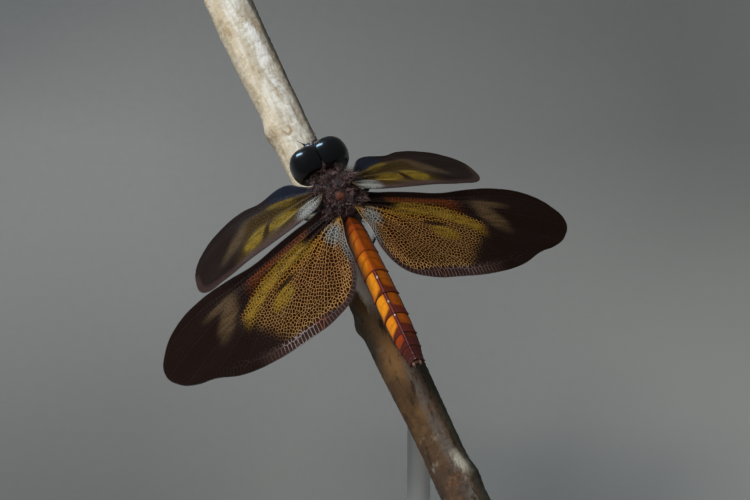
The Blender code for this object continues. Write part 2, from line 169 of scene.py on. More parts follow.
# Abdomen: line behind the thorax, and length, width and height of each ring.
ABDOMEN_START = (0, -2.30, -1.25)
ABDOMEN_DROOP, ABDOMEN_ROLL = 9.3, 5.0
RINGS = (
    (0.95, 1.95, 2.15), (0.65, 2.10, 2.35), (2.38, 2.25, 2.40), (2.25, 2.42, 2.25),
    (2.52, 2.56, 2.20), (2.35, 2.62, 2.10), (2.15, 2.60, 2.00), (1.45, 2.44, 1.88),
    (0.95, 2.14, 1.66), (0.55, 1.68, 1.28),
)
# Right half of a ring's section, in half widths and heights: keel, flank, side edge, belly.
RING_SECTION = (
    (0, 0.56), (0.15, 0.505), (0.30, 0.43), (0.64, 0.22), (0.90, -0.03), (1.0, -0.22),
    (0.84, -0.37), (0.40, -0.44), (0, -0.45),
)


def place(*steps):
    """World matrix of a frame reached by these (place, turn in degrees) steps from the animal."""
    matrix = BODY.copy()
    for shift, turn in steps:
        angles = [math.radians(degrees) for degrees in turn]
        matrix = matrix @ Matrix.Translation(shift) @ Euler(angles).to_matrix().to_4x4()
    return TO_METRES @ matrix


def body_frame():
    turn = Matrix.Rotation(math.radians(PITCH), 4, "X") @ Matrix.Rotation(math.radians(ROLL), 4, "Y")
    over_rod = turn @ Vector((TWIG_X, ROD_TWIG_Y, TWIG_Z))
    return Matrix.Translation(Vector((0, 0, ROD_REACH)) - over_rod) @ turn


BODY = body_frame()


# ---------------------------------------------------------------- node trees


def operator(operation, swapped=False):
    """A method that puts its socket and any other value through a Math node."""

    def apply(self, *others):
        values = (*others, self) if swapped else (self, *others)
        return self.maker.node("ShaderNodeMath", {"operation": operation}, dict(enumerate(values)))

    return apply


class Socket:
    """An output socket. Python's operators add Math nodes to its tree."""

    def __init__(self, maker, socket):
        self.maker = maker
        self.socket = socket

    __add__ = operator("ADD")
    __radd__ = operator("ADD", True)
    __sub__ = operator("SUBTRACT")
    __rsub__ = operator("SUBTRACT", True)
    __mul__ = operator("MULTIPLY")
    __rmul__ = operator("MULTIPLY", True)
    __truediv__ = operator("DIVIDE")
    __pow__ = operator("POWER")
    __abs__ = operator("ABSOLUTE")
    above = operator("MAXIMUM")
    below = operator("MINIMUM")
    sine = operator("SINE")
    root = operator("SQRT")


class Tree:
    """A node tree under construction."""

    def __init__(self, tree):
        self.tree = tree

    def node(self, kind, settings=None, inputs=None, out=0):
        """Adds a node with these settings and inputs, and gives its output number out."""
        made = self.tree.nodes.new(kind)
        for key, value in (settings or {}).items():
            setattr(made, key, value)
        for key, value in (inputs or {}).items():
            socket = made.inputs[key]
            if isinstance(value, Socket):
                self.tree.links.new(value.socket, socket)
            elif socket.type == "RGBA" and len(value) == 3:
                socket.default_value = (*value, 1)
            else:
                socket.default_value = value
        return Socket(self, made.outputs[out]) if len(made.outputs) else made


class Finish(Tree):
    """A material under construction, with the few patterns that the finishes share."""

    def __init__(self, name):
        self.material = bpy.data.materials.new(name)
        self.material.use_nodes = True
        self.material.node_tree.nodes.clear()
        super().__init__(self.material.node_tree)

    def split(self, vector):
        return [self.node("ShaderNodeSeparateXYZ", None, {0: vector}, i) for i in range(3)]

    def chart_vector(self):
        """The piece's own coordinates, stored on its points."""
        return self.node("ShaderNodeAttribute", {"attribute_name": "chart"}, out=1)

    def chart(self):
        return self.split(self.chart_vector())

    def stretched_chart(self, factors):
        return self.node(
            "ShaderNodeVectorMath", {"operation": "MULTIPLY"}, {0: self.chart_vector(), 1: factors}
        )

    def value(self, name):
        return self.node("ShaderNodeAttribute", {"attribute_name": name}, out=2)

    def position(self):
        return self.node("ShaderNodeTexCoord", out=3)

    def smooth(self, value, low, high):
        """0 to 1 as the value goes from low to high, either way round."""
        flip = low > high
        step = self.node(
            "ShaderNodeMapRange",
            {"interpolation_type": "SMOOTHSTEP"},
            {0: value, 1: min(low, high), 2: max(low, high)},
        )
        return 1 - step if flip else step

    def grain(self, scale, detail=3.0, rough=0.55, vector=None):
        vector = vector or self.position()
        return self.node("ShaderNodeTexNoise", None, {0: vector, 2: scale, 3: detail, 4: rough})

    def chart_grain(self, scale, detail=3.0, rough=0.55):
        return self.grain(scale, detail, rough, self.chart_vector())

    def cells(self, scale, feature="F1", vector=None):
        vector = vector or self.position()
        return self.node("ShaderNodeTexVoronoi", {"feature": feature}, {0: vector, 2: scale})

    def pebbles(self, scale, vector=None):
        """Rounded cells, for relief."""
        return self.cells(scale, "SMOOTH_F1", vector)

    def mix(self, factor, first, second):
        return self.node("ShaderNodeMix", {"data_type": "RGBA"}, {0: factor, 6: first, 7: second}, 2)

    def layers(self, base, *layers):
        """Lays each (mask, colour) over the colour before it."""
        for mask, colour in layers:
            base = self.mix(mask, base, colour)
        return base

    def patch(self, x, y, centre, radii, turn=0.0, edge=0.35):
        """1 inside a soft-edged ellipse at centre, turned anticlockwise by degrees."""
        c, s = math.cos(math.radians(turn)), math.sin(math.radians(turn))
        dx, dy = x - centre[0], y - centre[1]
        along = (dx * c + dy * s) / radii[0]
        across = (dy * c - dx * s) / radii[1]
        return self.smooth((along * along + across * across).root(), 1 + edge, 1 - edge)

    def bump(self, height, strength, distance):
        return self.node("ShaderNodeBump", None, {0: strength, 1: distance, 3: height})

    def principled(self, **inputs):
        """Ends the material with a Principled BSDF; underscores in a name stand for spaces."""
        named = {key.replace("_", " "): value for key, value in inputs.items()}
        shader = self.node("ShaderNodeBsdfPrincipled", None, named)
        self.node("ShaderNodeOutputMaterial", None, {0: shader})
        return self.material


def clouded_finish(name, cloud, dark, pale, relief=None, **inputs):
    """Two colours in clouds (scale, detail, from, to), with relief (scale, strength, depth)."""
    make = Finish(name)
    scale, detail, low, high = cloud
    inputs["Base_Color"] = make.mix(make.smooth(make.grain(scale, detail), low, high), dark, pale)
    if relief:
        scale, strength, depth = relief
        inputs["Normal"] = make.bump(make.grain(scale, 2), strength, depth)
    return make.principled(**inputs)


# ---------------------------------------------------------------- meshes


def mesh_of(points, faces, chart=None):
    mesh = bpy.data.meshes.new("form")
    mesh.from_pydata([tuple(p) for p in points], [], faces)
    if chart is not None:
        store(mesh, "chart", chart)
    return mesh


def store(mesh, name, values, kind="FLOAT_VECTOR", field="vector"):
    attribute = mesh.attributes.new(name, kind, "POINT")
    attribute.data.foreach_set(field, np.asarray(values, np.float32).ravel())


def sheet_faces(rows, columns, wrap):
    """Quads over a grid of points, closed around its columns where wrap is set."""
    faces = []
    last = columns if wrap else columns - 1
    for i in range(rows - 1):
        near, far = i * columns, (i + 1) * columns
        for j in range(last):
            k = (j + 1) % columns
            faces.append((near + j, near + k, far + k, far + j))
    return faces


def capped_faces(rows, columns):
    """Faces over rings of points, closed by two poles that come after them: first, then last."""
    faces = sheet_faces(rows, columns, True)
    first, last, final_row = rows * columns, rows * columns + 1, (rows - 1) * columns
    for j in range(columns):
        k = (j + 1) % columns
        faces.append((first, k, j))
        faces.append((last, final_row + j, final_row + k))
    return faces


def circle(sides):
    """Cosines and sines of evenly spread directions."""
    angles = np.linspace(0, 2 * math.pi, sides, endpoint=False)
    return np.cos(angles), np.sin(angles)


def unit_rows(vectors):
    return vectors / np.linalg.norm(vectors, axis=1)[:, None]


def ramp(value, width):
    """0 to 1 as the value goes from 0 to the width."""
    return np.clip(value / width, 0, 1)


def hump(value, width):
    """A smooth hump, 1 where the value is 0."""
    return np.exp(-((value / width) ** 2))


def closed_tube(rows, chart=None, bulge=0.0):
    """Closed mesh through rings of points, one row each, with a pole at both ends."""
    rows = np.asarray(rows, float)
    count, columns = rows.shape[:2]
    ends = [rows[0].mean(0), rows[-1].mean(0)]
    ends[0] = ends[0] + bulge * (ends[0] - rows[1].mean(0))
    ends[1] = ends[1] + bulge * (ends[1] - rows[-2].mean(0))
    points = np.vstack([rows.reshape(-1, 3), ends])
    if chart is not None:
        chart = np.asarray(chart, float)
        chart = np.vstack([chart.reshape(-1, 3), chart[0].mean(0), chart[-1].mean(0)])
    return outward(mesh_of(points, capped_faces(count, columns), chart))


def outward(mesh):
    bm = bmesh.new()
    bm.from_mesh(mesh)
    bmesh.ops.remove_doubles(bm, verts=bm.verts, dist=1e-7)
    bmesh.ops.recalc_face_normals(bm, faces=bm.faces)
    bm.to_mesh(mesh)
    bm.free()
    return mesh


def smooth_path(points, count):
    """Points evenly spread on a smooth curve through the given ones."""
    points = np.asarray(points, float)
    padded = np.vstack([2 * points[0] - points[1], points, 2 * points[-1] - points[-2]])
    fine = []
    for i in range(len(points) - 1):
        a, b, c, d = padded[i : i + 4]
        t = np.linspace(0, 1, 12, endpoint=False)[:, None]
        square, cube = 2 * a - 5 * b + 4 * c - d, 3 * b - a - 3 * c + d
        fine.append(0.5 * (2 * b + (c - a) * t + square * t**2 + cube * t**3))
    return even_path(np.vstack([*fine, points[-1:]]), count)


def even_path(path, count):
    reach = np.concatenate([[0], np.cumsum(np.linalg.norm(np.diff(path, axis=0), axis=1))])
    wanted = np.linspace(0, reach[-1], count)
    return np.stack([np.interp(wanted, reach, path[:, i]) for i in range(path.shape[1])], 1)


def path_length(path):
    return float(np.linalg.norm(np.diff(path, axis=0), axis=1).sum())


def limb(path, radii, sides):
    """Round limb along a path, its radius following radii from end to end."""
    path = np.asarray(path, float)
    along = unit_rows(np.gradient(path, axis=0))
    radii = np.interp(np.linspace(0, 1, len(path)), np.linspace(0, 1, len(radii)), radii)
    side = np.cross(along[0], (0.31, 0.17, 0.93))  # any way that no limb runs along
    cosines, sines = circle(sides)
    rows = []
    for point, way, radius in zip(path, along, radii):
        side = side - way * side.dot(way)
        side /= np.linalg.norm(side)
        up = np.cross(way, side)
        rows.append(point + radius * (cosines[:, None] * side + sines[:, None] * up))
    return closed_tube(rows, rows, 0.3)


def ball(centre, radii, squareness=2.0, slant=0.0, rows=48, columns=72):
    """Ball of these radii, squared off above 2 and slanted along Y with height."""
    points = []
    for i in range(1, rows):
        lift = math.pi * i / rows
        for j in range(columns):
            turn = 2 * math.pi * j / columns
            ring = math.sin(lift)
            unit = np.array((ring * math.cos(turn), ring * math.sin(turn), -math.cos(lift)))
            unit *= (np.abs(unit) ** squareness).sum() ** (-1 / squareness)
            points.append(unit * radii)
    grid = np.array([*points, (0, 0, -radii[2]), (0, 0, radii[2])], float)
    grid[:, 1] += slant * grid[:, 2]
    grid += centre
    return mesh_of(grid, capped_faces(rows - 1, columns))


def balls(forms):
    """Balls of (centre, radii, squareness, whether the other side has one too)."""
    return [
        ball((side * centre[0], *centre[1:]), radii, squareness)
        for centre, radii, squareness, paired in forms
        for side in ((1, -1) if paired else (1,))
    ]


def joined(meshes):
    """One mesh of several, without joining their surfaces."""
    bm = bmesh.new()
    for mesh in meshes:
        bm.from_mesh(mesh)
    whole = bpy.data.meshes.new("form")
    bm.to_mesh(whole)
    bm.free()
    return whole


def plain_mesh(piece):
    """The evaluated mesh of an object, which is then removed."""
    graph = bpy.context.evaluated_depsgraph_get()
    mesh = bpy.data.meshes.new_from_object(piece.evaluated_get(graph))
    bpy.data.objects.remove(piece)
    return mesh


def loose(name, mesh):
    piece = bpy.data.objects.new(name, mesh)
    bpy.context.scene.collection.objects.link(piece)
    return piece


def moulded(meshes, voxel, smoothing):
    """Several closed forms flowed together into one skin."""
    piece = loose("form", joined(meshes))
    remesh = piece.modifiers.new("flow", "REMESH")
    remesh.mode = "VOXEL"
    remesh.voxel_size = voxel
    soften = piece.modifiers.new("soften", "SMOOTH")
    soften.factor = 0.6
    soften.iterations = smoothing
    return plain_mesh(piece)


def vectors_of(source, field):
    """One row of three numbers for each item of a mesh's collection."""
    values = np.empty(len(source) * 3, np.float32)
    source.foreach_get(field, values)
    return values.reshape(-1, 3).astype(float)


def points_of(mesh):
    return vectors_of(mesh.vertices, "co")


def normals_of(mesh):
    return vectors_of(mesh.vertex_normals, "vector")


def set_points(mesh, points):
    mesh.vertices.foreach_set("co", np.asarray(points, np.float32).ravel())
    mesh.update()


def finished(name, mesh, matrix, material, replaced=()):
    """Puts a mesh in its place as a piece that rides on the body."""
    mesh.transform(matrix)
    mesh.shade_smooth()
    mesh.materials.clear()
    mesh.materials.append(material)
    mesh.name = name
    piece = loose(name, mesh)
    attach(piece, "root")
    if replaced:
        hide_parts(*replaced)
    return piece


# ---------------------------------------------------------------- repeated things


def nodes_result(mesh, tree, inputs):
    """Runs a node group on a mesh and returns its plain mesh."""
    piece = loose("form", mesh)
    modifier = piece.modifiers.new("make", "NODES")
    modifier.node_group = tree
    names = {item.name: item.identifier for item in tree.interface.items_tree if item.in_out == "INPUT"}
    for key, value in inputs.items():
        modifier[names[key]] = value
    return plain_mesh(piece)


def group(name, **inputs):
    """A geometry node group with a Geometry output, and its input sockets: Geometry and these."""
    tree = bpy.data.node_groups.new(name, "GeometryNodeTree")
    tree.interface.new_socket("Geometry", in_out="INPUT", socket_type="NodeSocketGeometry")
    for key, kind in inputs.items():
        tree.interface.new_socket(key, in_out="INPUT", socket_type=kind)
    tree.interface.new_socket("Geometry", in_out="OUTPUT", socket_type="NodeSocketGeometry")
    maker = Tree(tree)
    source = tree.nodes.new("NodeGroupInput")
    return maker, [Socket(maker, source.outputs[i]) for i in range(1 + len(inputs))]


def vein_group():
    """Turns edges into thin round veins as thick as their girth says."""
    maker, (geometry_in, sides, material) = group(
        "veins", Sides="NodeSocketInt", Material="NodeSocketMaterial"
    )
    curve = maker.node("GeometryNodeMeshToCurve", None, {0: geometry_in})
    ring = maker.node("GeometryNodeCurvePrimitiveCircle", None, {"Resolution": sides, "Radius": 1.0})
    girth = maker.node("GeometryNodeInputNamedAttribute", {"data_type": "FLOAT"}, {"Name": "girth"})
    veins = maker.node("GeometryNodeCurveToMesh", None, {0: curve, 1: ring, 2: girth, 3: True})
    real = maker.node("GeometryNodeRealizeInstances", None, {0: veins})
    done = maker.node("GeometryNodeSetMaterial", None, {0: real, 2: material})
    maker.node("NodeGroupOutput", None, {0: done})
    return maker.tree


def hair_group():
    """Sets a strand on every root, along its lie, and gives it a patch of the skin's unwrap."""
    maker, (roots, strand, seed, material) = group(
        "hair", Strand="NodeSocketObject", Seed="NodeSocketInt", Material="NodeSocketMaterial"
    )

    def stored(name):
        kind = {"data_type": "FLOAT_VECTOR"}
        return maker.node("GeometryNodeInputNamedAttribute", kind, {"Name": name})

    blade = maker.node("GeometryNodeObjectInfo", None, {0: strand}, 4)
    spin = maker.node(
        "FunctionNodeRandomValue", {"data_type": "FLOAT"}, {2: 0.0, 3: 2 * math.pi, 8: seed}, 1
    )
    turn = maker.node("ShaderNodeCombineXYZ", None, {2: spin})
    spun = maker.node("FunctionNodeEulerToRotation", None, {0: turn})
    aimed = maker.node("FunctionNodeAlignRotationToVector", {"axis": "Z"}, {0: spun, 2: stored("lie")})
    placed = maker.node(
        "GeometryNodeInstanceOnPoints", None, {0: roots, 2: blade, 5: aimed, 6: stored("size")}
    )
    real = maker.node("GeometryNodeRealizeInstances", None, {0: placed})
    spot = maker.node(
        "ShaderNodeVectorMath",
        {"operation": "ADD"},
        {0: stored("root_place"), 1: stored("blade_place")},
    )
    mapped = maker.node(
        "GeometryNodeStoreNamedAttribute", {"data_type": "FLOAT2", "domain": "CORNER"},
        {0: real, 2: "OFBake", 3: spot},
    )
    done = maker.node("GeometryNodeSetMaterial", None, {0: mapped, 2: material})
    maker.node("NodeGroupOutput", None, {0: done})
    return maker.tree


VEIN_GROUP = vein_group()
HAIR_GROUP = hair_group()
BAKE_PATCH = 0.003  # width of a strand's patch on the skin's unwrap


def strand_mesh(curl, rows):
    """A tapered strand one unit long on +Z and one in radius, curled by this many radii."""
    t = np.linspace(0, 1, rows)
    path = np.stack([curl * (np.sin(2.6 * t) - 1.2 * t), curl * 0.6 * t**2, t], 1)
    cosines, sines = circle(3)
    ring = np.stack([cosines, sines, 0 * cosines], 1)
    mesh = closed_tube([point + radius * ring for point, radius in zip(path, 1 - 0.8 * t)])
    points = points_of(mesh)
    across = np.clip(points[:, 0] / (2 * abs(curl) + 2), -0.5, 0.5)
    store(mesh, "blade_place", BAKE_PATCH * np.stack([across, points[:, 2] - 0.5, 0 * across], 1))
    return mesh


def hair_mesh(roots, lies, lengths, width, places, strand, material):
    """Strands in body millimetres from roots along lies."""
    points = bpy.data.meshes.new("roots")
    points.from_pydata([tuple(p) for p in roots], [], [])
    store(points, "lie", lies)
    lengths = np.asarray(lengths)
    store(points, "size", np.stack([width + 0 * lengths, width + 0 * lengths, lengths], 1))
    store(points, "root_place", places)
    blade = loose("strand", strand)
    mesh = nodes_result(points, HAIR_GROUP, {"Strand": blade, "Seed": SEED, "Material": material})
    bpy.data.objects.remove(blade)
    return mesh


# ---------------------------------------------------------------- wings


def margin_path(kind):
    """The whole outline of a wing, from the front of its root round the tip and back."""
    curve = bpy.data.curves.new(kind + "_margin", "CURVE")
    curve.dimensions = "2D"
    curve.fill_mode = "NONE"
    curve.resolution_u = 8
    spline = curve.splines.new("BEZIER")
    spline.use_cyclic_u = True
    spline.bezier_points.add(len(OUTLINES[kind]) - 1)
    for target, point in zip(spline.bezier_points, OUTLINES[kind]):
        target.co = (*point, 0)
        target.handle_left_type = "AUTO"
        target.handle_right_type = "AUTO"
    path = points_of(plain_mesh(loose(kind + "_margin", curve)))[:, :2]
    closing = 8 if kind == "fore" else 0  # points across the forewing's root, where no vein runs
    return even_path(path[: len(path) - closing], MARGIN_STEPS)


class WingPlan:
    """The plan of one kind of wing: its margin, veins, folds and cells, in wing lengths."""

    def __init__(self, kind):
        self.kind = kind
        self.margin = margin_path(kind)
        tip = int(self.margin[:, 0].argmax())
        front, rear = self.margin[: tip + 1], self.margin[tip:][::-1]
        self.front = (np.maximum.accumulate(front[:, 0]), front[:, 1])
        self.rear = (np.maximum.accumulate(rear[:, 0]), rear[:, 1])
        self.left, self.right = -0.03, float(self.margin[tip, 0])
        self.ends = [self.nearest(FRONT_END[kind])]
        self.veins = [even_path(self.margin[: self.ends[0] + 1], VEIN_STEPS)]
        for points in VEINS[kind]:
            path = smooth_path(points, VEIN_STEPS)
            end = self.nearest(path[-1])
            path += np.linspace(0, 1, VEIN_STEPS)[:, None] ** 3 * (self.margin[end] - path[-1])
            self.ends.append(end)
            self.veins.append(path)
        self.ends.append(self.nearest(INNER_END[kind]))
        self.veins.append(even_path(self.margin[self.ends[-1] :][::-1], VEIN_STEPS))

    def nearest(self, point):
        return int(np.linalg.norm(self.margin - np.asarray(point), axis=1).argmin())

    def front_at(self, u):
        return np.interp(u, *self.front)

    def rear_at(self, u):
        return np.interp(u, *self.rear)

    def fan(self, u, v):
        """Which pair of veins a point lies between, counted from the front margin."""
        lines = [self.front_at(u)]
        for path in self.veins[1:-1]:
            reach = np.maximum.accumulate(path[:, 0])
            lines.append(np.where(u < reach[-1], np.interp(u, reach, path[:, 1]), self.rear_at(u)))
        lines.append(self.rear_at(u))
        total = np.zeros_like(u)
        for near, far in zip(lines, lines[1:]):
            gap = np.maximum(near - far, 1e-6)
            total += np.clip((near - v) / gap, 0, 1)
        return total

    def lift(self, u, v):
        """Height of the wing's surface in millimetres: pleats fading to the margin, a soft camber."""
        pleats = PLEAT * np.cos(math.pi * self.fan(u, v)) * np.clip(1.15 - u, 0.2, 1)
        pleats *= ramp(self.rim(u, v) - 0.1, 1.3)
        camber = CAMBER * np.sin(math.pi * np.clip(u, 0, 1)) * np.cos(5 * v)
        return pleats + camber - 0.5 * CAMBER

    def rim(self, u, v):
        """Distance to the margin in millimetres."""
        points = np.stack([u, v], -1).reshape(-1, 1, 2)
        best = np.full(len(points), 9.0)
        for part in np.array_split(self.margin, 12):
            best = np.minimum(best, np.linalg.norm(points - part[None], axis=2).min(1))
        return (best * WING_LENGTH).reshape(np.shape(u))

    def chart(self, points):
        """Chart of points (u, v): u, v and the fan count."""
        u, v = points[:, 0], points[:, 1]
        return np.stack([u, v, self.fan(u, v)], 1)

    def sites(self):
        """Centres of the cells: rows between neighbouring veins, staggered and slightly shaken."""
        rng = np.random.RandomState(SEED)
        found = []
        for number, (near, far) in enumerate(zip(self.veins, self.veins[1:])):
            length = 0.5 * (path_length(near) + path_length(far)) * WING_LENGTH
            inner = number >= len(self.veins) - 3
            rim = TIP_CELL if number < 4 else 0.6 * RIM_CELL if inner else RIM_CELL
            t, odd = 0.0, 0
            while t < 1 - rim / length:
                middle = 0.5 * (self.on(near, t) + self.on(far, t))
                pitch = self.pitch(middle, number)
                width = np.linalg.norm(self.on(near, t) - self.on(far, t)) * WING_LENGTH
                rows = int(width / (pitch if number else 3 * pitch) + 0.5)
                for row in range(rows):
                    late = t + 0.5 * pitch / length * ((row + odd) % 2)
                    spot = self.between(number, (row + 0.5) / rows, late)
                    found.append(spot + rng.normal(0, 0.13 * pitch / WING_LENGTH, 2))
                t += pitch / length
                odd += rows
            gap = path_length(self.margin[self.ends[number] : self.ends[number + 1] + 1]) * WING_LENGTH
            rows = max(1, round(gap / RIM_PITCH))
            for row in range(rows):
                found.append(self.between(number, (row + 0.5) / rows, 1 - 0.42 * rim / length))
        return np.array(found)

    def pitch(self, point, number):
        if number == 0:
            return COSTA_PITCH
        outer = outer_share(*point)
        return CELL_PITCH[self.kind] * (1 - outer) + OUTER_PITCH * outer

    def on(self, path, t):
        place_on = min(max(t, 0), 1) * (len(path) - 1)
        i = min(int(place_on), len(path) - 2)
        return path[i] + (path[i + 1] - path[i]) * (place_on - i)

    def between(self, number, share, t):
        """Point this share of the way from one vein to the next, bent to end on the margin."""
        near, far = self.veins[number], self.veins[number + 1]
        straight = (1 - share) * self.on(near, t) + share * self.on(far, t)
        chord = (1 - share) * near[-1] + share * far[-1]
        index = (1 - share) * self.ends[number] + share * self.ends[number + 1]
        return straight + t**4 * (self.on(self.margin, index / (len(self.margin) - 1)) - chord)

    def network(self):
        """Ends of every fine vein: the borders between the cells."""
        sites = self.sites()
        inside = (sites[:, 1] < self.front_at(sites[:, 0])) & (sites[:, 1] > self.rear_at(sites[:, 0]))
        sites = sites[inside]
        away = np.linalg.norm(sites[:, None] - self.margin[None, ::2], axis=2)
        nearest = self.margin[::2][away.argmin(1)]
        close = away.min(1) < RIM_MIRROR / WING_LENGTH
        ghosts = 2 * nearest[close] - sites[close]
        everything = [Vector(p) for p in np.vstack([sites, ghosts])]
        points, _, faces, origins, _, _ = geometry.delaunay_2d_cdt(everything, [], [], 0, 1e-7)
        real = [min(found) < len(sites) for found in origins]
        centres = [circumcentre(*(points[i] for i in face)) for face in faces]
        shared = {}
        for face, centre in zip(faces, centres):
            for a, b in ((0, 1), (1, 2), (2, 0)):
                shared.setdefault(frozenset((face[a], face[b])), []).append(centre)
        borders = [
            pair for pair_of, pair in shared.items()
            if len(pair) == 2 and all(real[i] for i in pair_of)
            and SHORTEST_VEIN < (pair[0] - pair[1]).length * WING_LENGTH < LONGEST_VEIN
        ]
        ends = np.array([tuple(end) for pair in borders for end in pair])
        outside = (ends[:, 1] > self.front_at(ends[:, 0])) | (ends[:, 1] < self.rear_at(ends[:, 0]))
        gap = np.linalg.norm(ends[outside][:, None] - self.margin[None], axis=2)
        ends[outside] = self.margin[gap.argmin(1)]
        return ends.reshape(-1, 2, 2)


def outer_share(u, v):
    """0 in a wing's inner part, 1 in its dark outer part."""
    return ramp(u - 0.62 * v - 0.62, 0.12)


def circumcentre(a, b, c):
    d = 2 * (a.x * (b.y - c.y) + b.x * (c.y - a.y) + c.x * (a.y - b.y))
    d = d if abs(d) > 1e-14 else 1e-14
    aa, bb, cc = a.length_squared, b.length_squared, c.length_squared
    x = aa * (b.y - c.y) + bb * (c.y - a.y) + cc * (a.y - b.y)
    y = aa * (c.x - b.x) + bb * (a.x - c.x) + cc * (b.x - a.x)
    return Vector((x / d, y / d))


def wing_points(plan, side, spots):
    u, v = spots[:, 0], spots[:, 1]
    return np.stack([side * u * WING_LENGTH, v * WING_LENGTH, plan.lift(u, v)], 1)


def membrane_mesh(plan, side, columns=220, rows=70):
    """A thin plate over the whole wing, pleated as its veins are."""
    spread = (1 - np.cos(np.linspace(0, math.pi, columns))) / 2
    u = plan.left + (plan.right - plan.left) * spread
    share = np.linspace(0, 1, rows)
    front, rear = plan.front_at(u), plan.rear_at(u)
    grid_u = np.repeat(u, rows)
    grid_v = (front[:, None] * (1 - share) + rear[:, None] * share).ravel()
    spots = np.stack([grid_u, grid_v], 1)
    points = wing_points(plan, side, spots)
    upper, lower = points.copy(), points.copy()
    upper[:, 2] += MEMBRANE / 2
    lower[:, 2] -= MEMBRANE / 2
    top = sheet_faces(columns, rows, False)
    count = columns * rows
    faces = top + [tuple(reversed([i + count for i in face])) for face in top]
    edge = [i * rows for i in range(columns)] + [(columns - 1) * rows + j for j in range(1, rows)]
    edge += [i * rows + rows - 1 for i in reversed(range(columns - 1))]
    edge += reversed(range(1, rows - 1))
    for a, b in zip(edge, edge[1:] + edge[:1]):
        faces.append((a, b, b + count, a + count))
    chart = plan.chart(spots)
    rim = plan.rim(grid_u, grid_v)
    mesh = mesh_of(np.vstack([upper, lower]), faces, np.vstack([chart, chart]))
    store(mesh, "rim", np.concatenate([rim, rim]), "FLOAT", "value")
    return outward(mesh)


def vein_mesh(plan, side, material):
    """Fine veins round every cell, the main veins and the margin, as one mesh."""
    borders = plan.network()
    spots = borders.reshape(-1, 2)
    u, v = spots.T
    outer = outer_share(u, v)
    comb = ramp(1.7 - plan.rim(u, v), 0.3) * ramp(-0.2 - v, 0.05) * (plan.kind == "hind")
    girths = [CELL_VEIN * (1 - 0.35 * outer) * (1 + 0.5 * comb)]
    mains = [0 * outer]
    edges = [(2 * i, 2 * i + 1) for i in range(len(borders))]
    lines = [spots]
    count = len(spots)
    inner = enumerate(plan.veins[1:-1])
    main_lines = [(path, 0.085 if i < STRONG_VEINS else 0.05, 0.038) for i, path in inner]
    main_lines += [(plan.veins[0], 0.16, 0.06), (plan.margin[plan.ends[0] :], 0.05, 0.05)]
    for path, first, last in main_lines:
        path = even_path(path, max(30, int(path_length(path) * 90)))
        edges += [(count + i, count + i + 1) for i in range(len(path) - 1)]
        lines.append(path)
        girths.append(last + (first - last) * np.linspace(1, 0, len(path)) ** 1.5)
        mains.append(np.full(len(path), 1.0 if first > 0.06 else 0.3))
        count += len(path)
    spots = np.vstack(lines)
    mesh = bpy.data.meshes.new("veins")
    mesh.from_pydata([tuple(p) for p in wing_points(plan, side, spots)], edges, [])
    store(mesh, "girth", np.concatenate(girths), "FLOAT", "value")
    store(mesh, "main", np.concatenate(mains), "FLOAT", "value")
    store(mesh, "chart", plan.chart(spots))
    store(mesh, "rim", plan.rim(spots[:, 0], spots[:, 1]), "FLOAT", "value")
    return nodes_result(mesh, VEIN_GROUP, {"Sides": 4, "Material": material})


def wing_chart(make):
    """A wing's u and v, and the same two wavering, for the edges of the marks."""
    u, v, _ = make.chart()
    wander = make.chart_grain(9.0, 2.0) - 0.5
    return u, v, u + 0.05 * wander, v + 0.02 * wander


def hind_marks(make):
    """Masks of the hindwing's marks, in its chart."""
    u, v, out, across = wing_chart(make)
    behind = (out - 0.28).above(0.0)
    front_line = 0.004 - behind * behind
    gold = make.smooth(out - 0.667 * across, 0.69, 0.60)
    gold = gold * make.smooth(across - front_line, 0.006, -0.008)
    bright_line = -0.032 - 0.95 * (out - 0.25).above(0.0) ** 2.0
    bright = make.smooth(abs(across - bright_line), 0.040, 0.018) * make.smooth(out, 0.12, 0.18)
    bright = bright * make.smooth(out, 0.60, 0.52)
    return {
        "gold": gold,
        "bright": bright.above(make.patch(out, across, (0.37, -0.145), (0.065, 0.032), -18)),
        "lens": make.patch(u, v, (0.325, -0.099), (0.060, 0.009), -6),
        "red": make.smooth(across, 0.036, 0.026) * make.smooth(across - front_line, -0.004, 0.006)
        * make.smooth(out, 0.10, 0.15) * make.smooth(out, 0.52, 0.42),
        "tan": make.patch(out, across, (0.625, -0.045), (0.090, 0.036), -42, 0.6)
        .above(0.7 * make.patch(out, across, (0.63, 0.016), (0.085, 0.018), -4, 0.6)),
        "silver": make.patch(out, across, (0.033, -0.072), (0.040, 0.042), 10, 0.7)
        .above(0.75 * make.patch(u, across, (0.012, -0.125), (0.020, 0.080), 10, 0.6)),
        "rim": make.smooth(make.value("rim") * (2.4 - 1.4 * make.smooth(u, 0.08, 0.26)), 1.5, 0.9)
        * make.smooth(v, -0.12, -0.20) * make.smooth(u, 0.64, 0.52),
        "root": make.smooth(out + 1.5 * (v - 0.01), 0.16, 0.10) * make.smooth(across, -0.035, -0.02),
        "costa": make.smooth(v, 0.026, 0.032) * make.smooth(u, 0.60, 0.5),
        "blue": make.smooth(u, 0.0, -0.1),
        "u": u,
        "v": v,
    }


